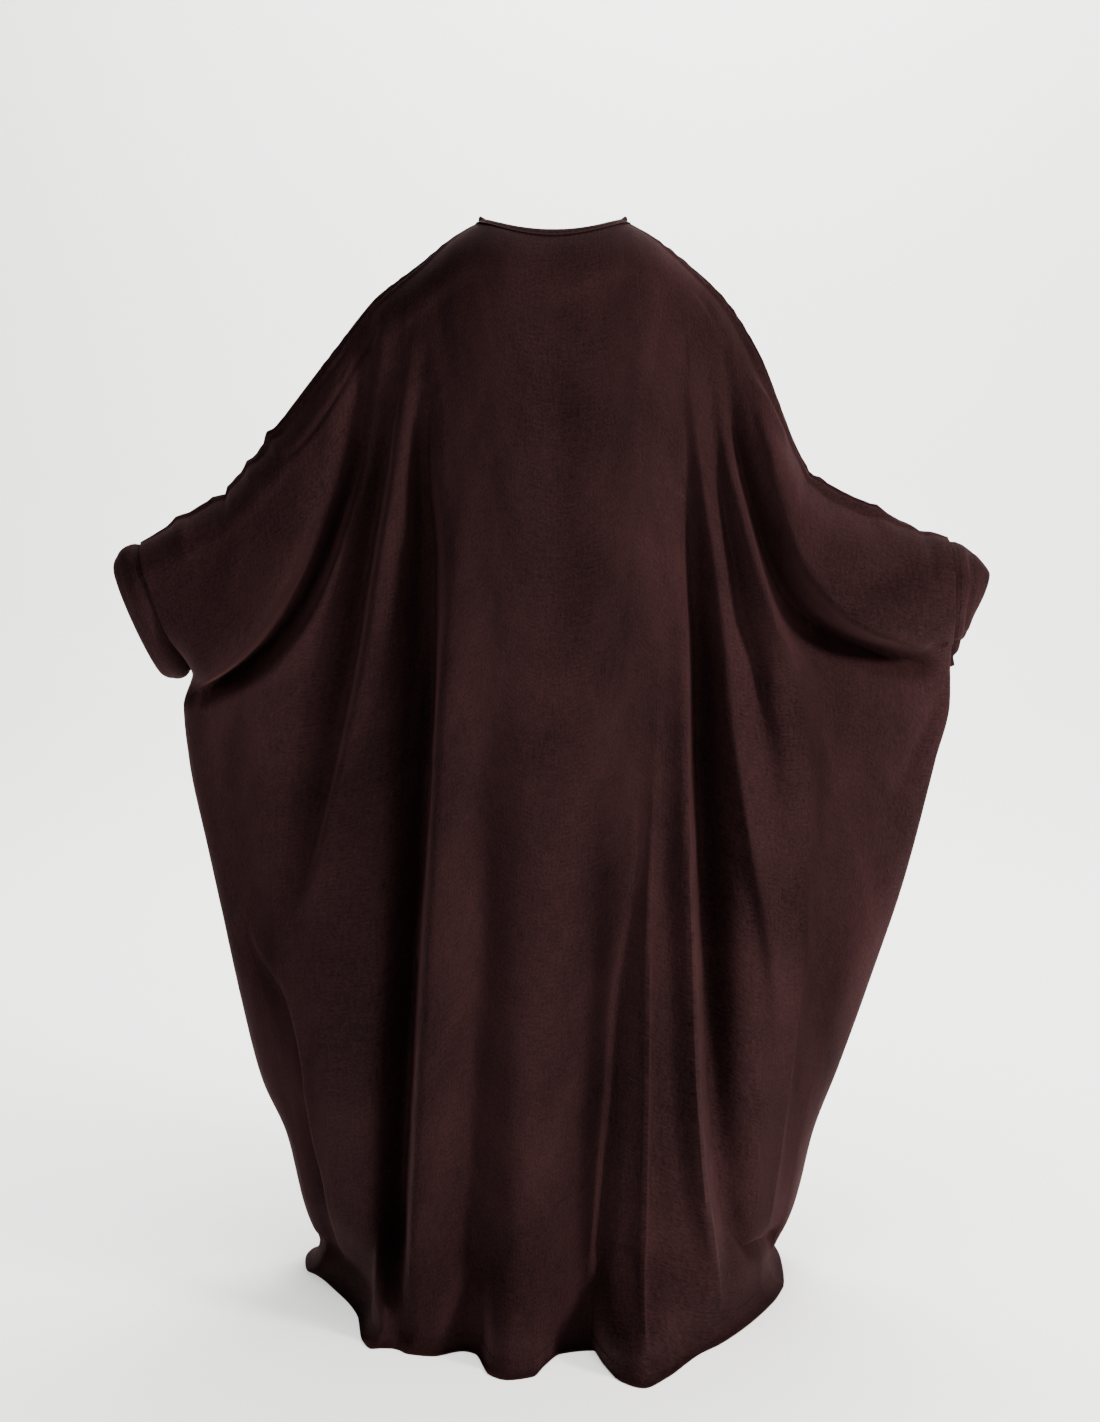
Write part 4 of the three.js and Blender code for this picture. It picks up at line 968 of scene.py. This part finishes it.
# The front panel: one wide piece of the same crepe, cut as the back with a deeper neck. The
# photograph doesn't show it, so it is plain, and its folds fall from the neck and the sleeves
# in the same way as the back's.
FRONT = {
    "outwards": 1,
    "neck_depth": 72,
    "neck_drop": 88,
    "sections": table(SECTION, [
        (0, 60, 120, 44, 4),
        (-60, 66, 150, 46, 4),
        (-150, 100, 176, 50, 4),
        (-270, 132, 184, 52, 4),
        (-450, 130, 190, 52, 4),
        (-620, 132, 200, 42, 4),
        (-800, 142, 214, 38, 4),
        (-1000, 158, 232, 40, 4.6),
        (-1200, 178, 240, 26, 4.6),
        (-1440, 200, 244, 4, 5),
    ]),
    "guides": [
        dict(across=-0.55,
             path=[(-176, -210), (-204, -460), (-240, -740), (-262, -1000), (-266, -1400)]),
        dict(across=-0.45,
             path=[(-130, -330), (-148, -640), (-176, -960), (-204, -1400)]),
        dict(across=-0.3,
             path=[(-82, -340), (-96, -720), (-116, -1060), (-140, -1410)]),
        dict(across=0.31,
             path=[(98, -360), (116, -740), (138, -1080), (158, -1410)]),
        dict(across=0.41,
             path=[(140, -300), (168, -640), (196, -980), (222, -1400)]),
        dict(across=0.55,
             path=[(178, -210), (214, -480), (248, -800), (264, -1080), (266, -1400)]),
    ],
    "folds": {
        "left sleeve belly": dict(
            left=84, right=30, sag=-0.55,
            path=[(-222, -170), (-272, -330), (-336, -450), (-410, -528), (-470, -560)],
            height=[8, 24, 36, 38, 24]),
        "left sleeve hollow": dict(
            left=22, right=26, peak=0.1, sag=-0.2,
            path=[(-212, -180), (-256, -360), (-312, -490), (-384, -580), (-460, -630)],
            height=[-8, -30, -38, -36, -20]),
        "left swag": dict(
            left=24, right=34, peak=0.2,
            path=[(-176, -210), (-204, -460), (-240, -740), (-262, -1000), (-266, -1400)],
            height=[5, 22, 28, 22, 8]),
        "left hollow": dict(
            left=28, right=24,
            path=[(-130, -330), (-148, -640), (-176, -960), (-204, -1400)],
            height=[-6, -30, -42, -44]),
        "left front ridge": dict(
            left=22, right=34, peak=0.4, lean=-0.1,
            path=[(-82, -340), (-96, -720), (-116, -1060), (-140, -1410)],
            height=[5, 22, 34, 66]),
        "left centre hollow": dict(
            left=24, right=22,
            path=[(-40, -480), (-48, -880), (-64, -1400)],
            height=[-4, -20, -34]),
        "centre ridge": dict(
            left=28, right=26, peak=0.2,
            path=[(6, -420), (10, -820), (16, -1120), (20, -1410)],
            height=[4, 16, 26, 64]),
        "right centre hollow": dict(
            left=24, right=20,
            path=[(56, -430), (66, -820), (82, -1400)],
            height=[-5, -24, -34]),
        "right front ridge": dict(
            left=30, right=20, peak=0.5, lean=0.1,
            path=[(98, -360), (116, -740), (138, -1080), (158, -1410)],
            height=[5, 26, 36, 70]),
        "right hollow": dict(
            left=22, right=30,
            path=[(140, -300), (168, -640), (196, -980), (222, -1400)],
            height=[-6, -34, -44, -42]),
        "right swag": dict(
            left=30, right=28, peak=0.2,
            path=[(178, -210), (214, -480), (248, -800), (264, -1080), (266, -1400)],
            height=[5, 24, 28, 20, 8]),
        "right sleeve hollow": dict(
            left=24, right=22, peak=0.1, sag=-0.2,
            path=[(216, -190), (256, -370), (318, -500), (400, -580), (480, -612)],
            height=[-8, -30, -40, -36, -20]),
        "right sleeve belly": dict(
            left=28, right=80, sag=-0.55,
            path=[(226, -180), (276, -350), (342, -460), (424, -520), (490, -540)],
            height=[8, 26, 36, 36, 22]),
    },
    "creases": {
        "left swag crest": dict(
            left=9, right=20, peak=0.5,
            path=[(-184, -240), (-206, -420), (-232, -600), (-256, -800), (-280, -960)],
            height=[0, 5, 7, 5, 0]),
        "left ridge crest": dict(
            left=7, right=16, peak=0.6,
            path=[(-90, -520), (-98, -760), (-108, -960), (-124, -1180), (-138, -1400)],
            height=[0, 6, 8, 7, 5]),
        "centre crest": dict(
            left=14, right=14, peak=0.3,
            path=[(8, -560), (12, -860), (18, -1150), (22, -1400)],
            height=[0, 4, 5, 5]),
        "right ridge crest": dict(
            left=14, right=6, peak=0.7,
            path=[(106, -560), (120, -800), (134, -1020), (148, -1240), (158, -1400)],
            height=[0, 7, 9, 8, 5]),
        "right swag crest": dict(
            left=18, right=9, peak=0.5,
            path=[(186, -230), (212, -440), (238, -640), (264, -830), (292, -990)],
            height=[0, 5, 7, 5, 0]),
        "left chest drag": dict(
            left=14, right=14, peak=0.1,
            path=[(-150, -80), (-120, -180), (-96, -320)],
            height=[0, -3.5, 0]),
        "right chest drag": dict(
            left=14, right=14, peak=0.1,
            path=[(152, -84), (126, -200), (104, -340)],
            height=[0, -3.5, 0]),
        "under the neck": dict(
            left=16, right=16, peak=0.1,
            path=[(-60, -150), (-24, -182), (20, -190), (58, -160)],
            height=[0, -2.5, -2.5, 0]),
        "left wing drag": dict(
            left=24, right=20, peak=0.1,
            path=[(-474, -720), (-430, -880), (-380, -1050), (-340, -1220)],
            height=[0, 4, 4, 0]),
        "right wing drag": dict(
            left=22, right=24, peak=0.1,
            path=[(506, -740), (452, -900), (392, -1060), (346, -1220)],
            height=[0, 4, 4, 0]),
        "crease from the left cuff": dict(
            left=12, right=12, peak=0.3,
            path=[(-494, -622), (-462, -690), (-424, -760)],
            height=[-6, -6, 0]),
        "crease from the right cuff": dict(
            left=12, right=12, peak=0.3,
            path=[(534, -622), (496, -690), (452, -764)],
            height=[-6, -6, 0]),
        "left floor break": dict(
            left=10, right=10, peak=0.3,
            path=[(-290, -1330), (-262, -1372), (-228, -1384)],
            height=[0, -7, 0]),
        "right floor break": dict(
            left=10, right=10, peak=0.3,
            path=[(286, -1320), (256, -1366), (220, -1380)],
            height=[0, -7, 0]),
    },
    "seed": 11,
}
front_points = creased(FRONT)

# The long seams: the two panels are sewn to each other over both sleeves and down both sides,
# so they have the same line and the same face there, and the seam shows as a fine groove.
HAIR = 1e-6
back_normals = normals_of(back_points, BACK["outwards"])
front_normals = normals_of(front_points, FRONT["outwards"])
beyond_neck = np.abs(ACROSS) > NECK_EDGE - HAIR
sewn = np.zeros(back_points.shape[:2], bool)
sewn[beyond_neck, 0] = True
sewn[0, LAST_SLEEVE_ROW:] = True
sewn[-1, LAST_SLEEVE_ROW:] = True
seam_line = (back_points[sewn] + front_points[sewn]) / 2
back_points[sewn] = seam_line
front_points[sewn] = seam_line
shared = unit(back_normals[sewn] + front_normals[sewn])
back_normals[sewn] = shared
front_normals[sewn] = shared

# The hem is turned up and stitched, so its last 16 mm are two layers pressed together.
HEM_TURNED_FROM = 0.5
HEM_LAYERS = 1.6
thick = np.full(back_points.shape[:2], float(CLOTH))
thick[:, HEM_SHARE > HEM_TURNED_FROM] = CLOTH * HEM_LAYERS

back = shell("back_panel", back_points, back_normals, thick, cut_places(back_points))
worn(back, "back", CREPE)
front = shell("front_panel", front_points, front_normals, thick, cut_places(front_points))
worn(front, "front", CREPE)

# The hem's stitching: one row of lockstitch in matching thread, all the way round, where the
# turned-up edge is caught. Each stitch sinks a little into the crepe.
# Real stitches are 3 mm of 0.3 mm thread, too fine for the render, so they are drawn larger.
STITCH_PITCH = 0.0085
STITCH_LENGTH = 0.0062
THREAD_THICK = 0.0011
THREAD_TWIST = 1.5
STITCH_STANDS = 1.0
HEM_STITCH_ROW = -6


def socket(tree, name, value):
    """Adds a size to a stitching tree's inputs."""
    item = tree.interface.new_socket(name, in_out="INPUT", socket_type="NodeSocketFloat")
    item.default_value = value
    return item.identifier


def thread_material():
    """Spun polyester thread in the cloth's own colour: a little smoother than the crepe, so
    each stitch catches a thin light."""
    material = bpy.data.materials.new("polyester_thread")
    material.use_nodes = True
    tree = material.node_tree
    face = tree.nodes["Principled BSDF"]
    place = add(tree, "ShaderNodeTexCoord")
    twist = add(tree, "ShaderNodeTexNoise", {"Scale": 1000 / THREAD_TWIST, "Detail": 2},
                {"Vector": place.outputs["Object"]})
    tone = add(tree, "ShaderNodeValToRGB", {}, {"Fac": twist.outputs["Fac"]})
    tone.color_ramp.elements[0].color = linear("#120a0b")
    tone.color_ramp.elements[1].color = linear("#2b1a1b")
    tree.links.new(tone.outputs["Color"], face.inputs["Base Color"])
    face.inputs["Roughness"].default_value = 0.85
    face.inputs["Specular IOR Level"].default_value = 0.1
    face.inputs["IOR"].default_value = 1.5
    return material


THREAD = thread_material()


def stitching_tree():
    """Geometry Nodes that lay stitches along a line of edges."""
    tree = bpy.data.node_groups.new("row_of_stitches", "GeometryNodeTree")
    tree.interface.new_socket("Line", in_out="INPUT", socket_type="NodeSocketGeometry")
    names = {"Pitch": STITCH_PITCH, "Stitch Length": STITCH_LENGTH, "Thread": THREAD_THICK}
    sizes = {socket(tree, name, value): value for name, value in names.items()}
    tree.interface.new_socket("Stitches", in_out="OUTPUT", socket_type="NodeSocketGeometry")
    entry = add(tree, "NodeGroupInput")
    path = add(tree, "GeometryNodeMeshToCurve", {}, {"Mesh": entry.outputs["Line"]})
    places = add(tree, "GeometryNodeResampleCurve", {"mode": "LENGTH"},
                 {"Curve": path.outputs["Curve"], "Length": entry.outputs["Pitch"]})
    way = add(tree, "GeometryNodeInputTangent")
    turn = add(tree, "FunctionNodeAlignRotationToVector", {"axis": "Z"},
               {"Vector": way.outputs["Tangent"]})
    half_long = add(tree, "ShaderNodeMath", {"operation": "MULTIPLY", 1: 0.5},
                    {0: entry.outputs["Stitch Length"]})
    half_thick = add(tree, "ShaderNodeMath", {"operation": "MULTIPLY", 1: 0.5},
                     {0: entry.outputs["Thread"]})
    size = add(tree, "ShaderNodeCombineXYZ", {},
               {"X": half_thick.outputs[0], "Y": half_thick.outputs[0],
                "Z": half_long.outputs[0]})
    stitch = add(tree, "GeometryNodeMeshIcoSphere", {"Radius": 1.0, "Subdivisions": 2})
    row = add(tree, "GeometryNodeInstanceOnPoints", {},
              {"Points": places.outputs["Curve"], "Instance": stitch.outputs["Mesh"],
               "Rotation": turn.outputs["Rotation"], "Scale": size.outputs["Vector"]})
    made = add(tree, "GeometryNodeRealizeInstances", {}, {"Geometry": row.outputs["Instances"]})
    rounded = add(tree, "GeometryNodeSetShadeSmooth", {}, {"Geometry": made.outputs["Geometry"]})
    dyed = add(tree, "GeometryNodeSetMaterial", {"Material": THREAD},
               {"Geometry": rounded.outputs["Geometry"]})
    add(tree, "NodeGroupOutput", {}, {"Stitches": dyed.outputs["Geometry"]})
    return tree, sizes


ROW_OF_STITCHES, STITCH_SIZES = stitching_tree()


def stitched(name, line):
    """A closed row of stitches along a line of points, as a plain mesh."""
    mesh = bpy.data.meshes.new(name)
    count = len(line)
    mesh.from_pydata((line / 1000).tolist(), [(i, (i + 1) % count) for i in range(count)], [])
    piece = bpy.data.objects.new(name, mesh)
    bpy.context.scene.collection.objects.link(piece)
    laid = piece.modifiers.new("stitches", "NODES")
    laid.node_group = ROW_OF_STITCHES
    for size, value in STITCH_SIZES.items():
        laid[size] = value
    made = piece.evaluated_get(bpy.context.evaluated_depsgraph_get())
    stitches = bpy.data.meshes.new_from_object(made)
    piece.modifiers.remove(laid)
    piece.data = stitches
    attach(piece, "root")
    return piece


back_hem = (back_points + back_normals * STITCH_STANDS)[:, HEM_STITCH_ROW]
front_hem = (front_points + front_normals * STITCH_STANDS)[:, HEM_STITCH_ROW]
stitched("hem_stitches", np.concatenate([back_hem, front_hem[-2:0:-1]]))

# The cuffs: a straight band of the same crepe, double, sewn round each sleeve end and open at
# its free edge. top and foot are the ends of that edge, depth is how far it stands out to the
# back and the front, belly how far the band bulges, and fold places a shallow fold across it.
LEFT_CUFF = {"name": "left_cuff", "node": "cuff_left", "column": 0,
             "top": (-590, -455), "foot": (-528, -598), "depth": 38, "length": 0.37,
             "belly": 9.5, "fold": 0.7, "fold_depth": 0.8}
RIGHT_CUFF = {"name": "right_cuff", "node": "cuff_right", "column": -1,
              "top": (586, -460), "foot": (560, -522), "depth": 32, "length": 0.34,
              "belly": 5, "fold": 0.45, "fold_depth": 3.4}
CUFF_RINGS = 18
CUFF_CLOTH = 1.6
CUFF_WIDTH = 0.06
BELLY_ROUND = 0.7
FOLD_HALF = 0.08
# The band is uneven round its edge, in this many waves.
WAVES = 5
WAVE_START = 0.7
WAVE_HEIGHT = 1.3
# It is drawn in where it is sewn on.
SEAM_DIP = 6.0
SEAM_REACH = 0.06
STITCHED_RING = 3


def sleeve_end(column):
    """The edge of a sleeve, down its back and up its front, with the turn of each point."""
    last = LAST_SLEEVE_ROW
    turn = np.where(
        ARM_SHARE[:last + 1] < 1, ARM_SHARE[:last + 1] * 90,
        90 + 90 * DOWN_SHARE[:last + 1] / CUFF_FOOT)
    down_back = back_points[column, :last + 1]
    up_front = front_points[column, last - 1:0:-1]
    edge = np.concatenate([down_back, up_front])
    turns = np.concatenate([turn, turn[last - 1:0:-1]])
    facing = np.concatenate([-np.ones(last + 1), np.ones(last - 1)])
    return edge, np.radians(turns), facing


def round_line(points):
    """The way round a closed line, or a closed band, at each of its points."""
    return np.roll(points, -1, axis=0) - np.roll(points, 1, axis=0)


def distance_round(line):
    """How far round a closed line each of its points lies."""
    return np.cumsum(np.linalg.norm(np.roll(line, -1, axis=0) - line, axis=-1))


for cuff in (LEFT_CUFF, RIGHT_CUFF):
    edge, turns, facing = sleeve_end(cuff["column"])
    top = np.array([cuff["top"][0], 0, cuff["top"][1]], float)
    foot = np.array([cuff["foot"][0], 0, cuff["foot"][1]], float)
    centre = (top + foot) / 2
    free = centre + np.cos(turns)[:, None] * (top - centre)
    free[:, 1] = facing * cuff["depth"] * np.sin(turns)
    along = np.linspace(0, 1, CUFF_RINGS)
    points = edge[:, None] + along[None, :, None] * (free - edge)[:, None]
    outwards = unit(np.cross(round_line(points), np.gradient(points, axis=1)))
    away = points - centre
    outwards *= np.where(np.sum(outwards * away, axis=-1, keepdims=True) < 0, -1, 1)
    # The band bellies a little between its seam and its edge, with a shallow fold across it.
    share = along[None, :]
    wave = np.sin(turns * WAVES + WAVE_START)[:, None]
    belly = (cuff["belly"] * np.sin(np.pi * share) ** BELLY_ROUND
             + WAVE_HEIGHT * wave * np.sin(np.pi * share)
             - cuff["fold_depth"] * np.exp(-((share - cuff["fold"]) / FOLD_HALF) ** 2)
             * (facing[:, None] < 0)
             - SEAM_DIP * (share / SEAM_REACH) * np.exp(1 - share / SEAM_REACH))
    points = points + outwards * belly[..., None]
    around_edge = distance_round(edge)
    uv = np.stack([
        along[None, :] * (CUFF_WIDTH * 1000) + 0 * around_edge[:, None],
        around_edge[:, None] + 0 * along[None, :]], -1)
    band = shell(cuff["name"], points, outwards,
                 np.full(points.shape[:2], CUFF_CLOTH), uv, ring=True)
    worn(band, cuff["node"], CREPE)
    stitched(cuff["name"] + "_stitches",
             (points + outwards * STITCH_STANDS)[:, STITCHED_RING])

# The neck binding: a narrow strip of the same crepe, cut on the bias, folded over the raw edge
# of both panels and stitched through. BINDING is its section, by how far each point stands
# above the neck's edge and out of the cloth.
BINDING_CLOTH = 0.8
BINDING_STEP = 2.6
NECK_AXIS_ABOVE = 40.0
NECK_STITCH_STANDS = 0.5
in_back = np.where(np.abs(ACROSS) < NECK_EDGE + HAIR)[0]
in_front = np.where(np.abs(ACROSS) < NECK_EDGE - HAIR)[0][::-1]
neck = np.concatenate([back_points[in_back, 0], front_points[in_front, 0]])
neck_face = np.concatenate([back_normals[in_back, 0], front_normals[in_front, 0]])
neck_way = unit(np.cross(round_line(neck), neck_face))
to_axis = np.stack([-neck[:, 0], -neck[:, 1], np.full(len(neck), NECK_AXIS_ABOVE)], -1)
neck_way *= np.where(np.sum(neck_way * to_axis, axis=-1, keepdims=True) < 0, -1, 1)
BINDING = table(("height", "out"), [
    (-6, 1.7), (-3, 1.5), (0, 2.0), (4, 2.3), (7, 2.0), (8.6, 1.0), (9, 0),
    (8.6, -1.0), (7, -2.0), (4, -2.3), (0, -2.0), (-3, -1.6), (-6, -1.7)])
strip = (neck[:, None]
         + neck_way[:, None] * BINDING["height"][None, :, None]
         + neck_face[:, None] * BINDING["out"][None, :, None])
BOUND_ROW = 2
strip_face = unit(np.cross(round_line(strip), np.gradient(strip, axis=1)))
round_neck = distance_round(neck)[:, None]
across_strip = np.arange(len(BINDING["height"]))[None, :] * BINDING_STEP
strip_uv = np.stack([round_neck + 0 * across_strip, across_strip + 0 * round_neck], -1)
binding = shell("neck_binding_strip", strip, strip_face,
                np.full(strip.shape[:2], BINDING_CLOTH), strip_uv, ring=True)
worn(binding, "neck_binding", CREPE)
stitched("neck_stitches", (strip + strip_face * NECK_STITCH_STANDS)[:, BOUND_ROW])

# The studio: pale paper that runs over the floor and up a wall 5 m behind. A soft light stands
# low at the right and a weaker one at the left. A third is for the wall, and a fourth, over
# the floor, is kept off the garment. Sizes here are metres.
FLOOR_LEVEL = FLOOR / 1000
PAPER_BELOW = 0.0005
PAPER_HALF = 9
SWEEP = table(("y", "z"), [
    (-9, 0), (0, 0), (3.6, 0), (4.1, 0.05), (4.5, 0.2), (4.8, 0.5), (4.95, 0.95), (5, 1.6),
    (5, 7)])
sweep_places = [(x, y, FLOOR_LEVEL - PAPER_BELOW + z)
                for y, z in zip(SWEEP["y"], SWEEP["z"]) for x in (-PAPER_HALF, PAPER_HALF)]
sweep_faces = [(2 * i, 2 * i + 1, 2 * i + 3, 2 * i + 2) for i in range(len(SWEEP["y"]) - 1)]
sweep_mesh = bpy.data.meshes.new("studio_sweep")
sweep_mesh.from_pydata(sweep_places, [], sweep_faces)
sweep_mesh.polygons.foreach_set("use_smooth", [True] * len(sweep_faces))
sweep = bpy.data.objects.new("studio_sweep", sweep_mesh)
bpy.context.scene.collection.objects.link(sweep)
# Matt white background paper, which gives the eye an even pale ground.
paper = bpy.data.materials.new("studio_paper")
paper.use_nodes = True
paper.node_tree.nodes["Principled BSDF"].inputs["Base Color"].default_value = linear("#f7f7f5")
paper.node_tree.nodes["Principled BSDF"].inputs["Roughness"].default_value = 0.9
sweep_mesh.materials.append(paper)

# A weak even light from all sides keeps the folds from going black.
world = bpy.data.worlds.new("studio_air")
bpy.context.scene.world = world
world.use_nodes = True
world.node_tree.nodes["Background"].inputs["Color"].default_value = linear("#f3f3f1")
world.node_tree.nodes["Background"].inputs["Strength"].default_value = 0.16


def soft_light(name, place, aim, size, power, colour):
    """A large square light turned to the point it lights."""
    lamp = bpy.data.lights.new(name, "AREA")
    lamp.size = size
    lamp.energy = power
    lamp.color = linear(colour)[:3]
    light = bpy.data.objects.new(name, lamp)
    light.location = place
    light.rotation_euler = (Vector(aim) - Vector(place)).to_track_quat("-Z", "Y").to_euler()
    bpy.context.scene.collection.objects.link(light)
    return light


soft_light("key_light", (2.9, -1.7, 0.6), (0, 0, -0.95), 0.7, 200, "#fff3f0")
soft_light("fill_light", (-1.6, -3.8, 1.4), (0, 0, -0.8), 1.8, 24, "#f8f8ff")
soft_light("wall_light", (0.6, 2.0, 3.6), (0.5, 5, 0.4), 3.2, 760, "#ffffff")
floor_light = soft_light("floor_light", (0.3, -1.2, 3.6), (0.3, -1.2, -1.44), 4.0, 540, "#ffffff")
# Flags keep the floor's light off the garment, as they would in a studio.
flagged = bpy.data.collections.new("lit_by_floor_light")
flagged.objects.link(sweep)
floor_light.light_linking.receiver_collection = flagged

# The camera: 3 m behind the middle of the garment, a little below the neck and tilted down, as
# the photograph was taken.
TILT = math.radians(7.75)
camera_data = bpy.data.cameras.new("camera")
camera_data.lens = 56.5
camera_data.sensor_width = 36
camera = bpy.data.objects.new("camera", camera_data)
camera.location = (-0.004, -3.0, -0.24)
camera.rotation_euler = (math.pi / 2 - TILT, 0, 0)
bpy.context.scene.collection.objects.link(camera)
bpy.context.scene.camera = camera
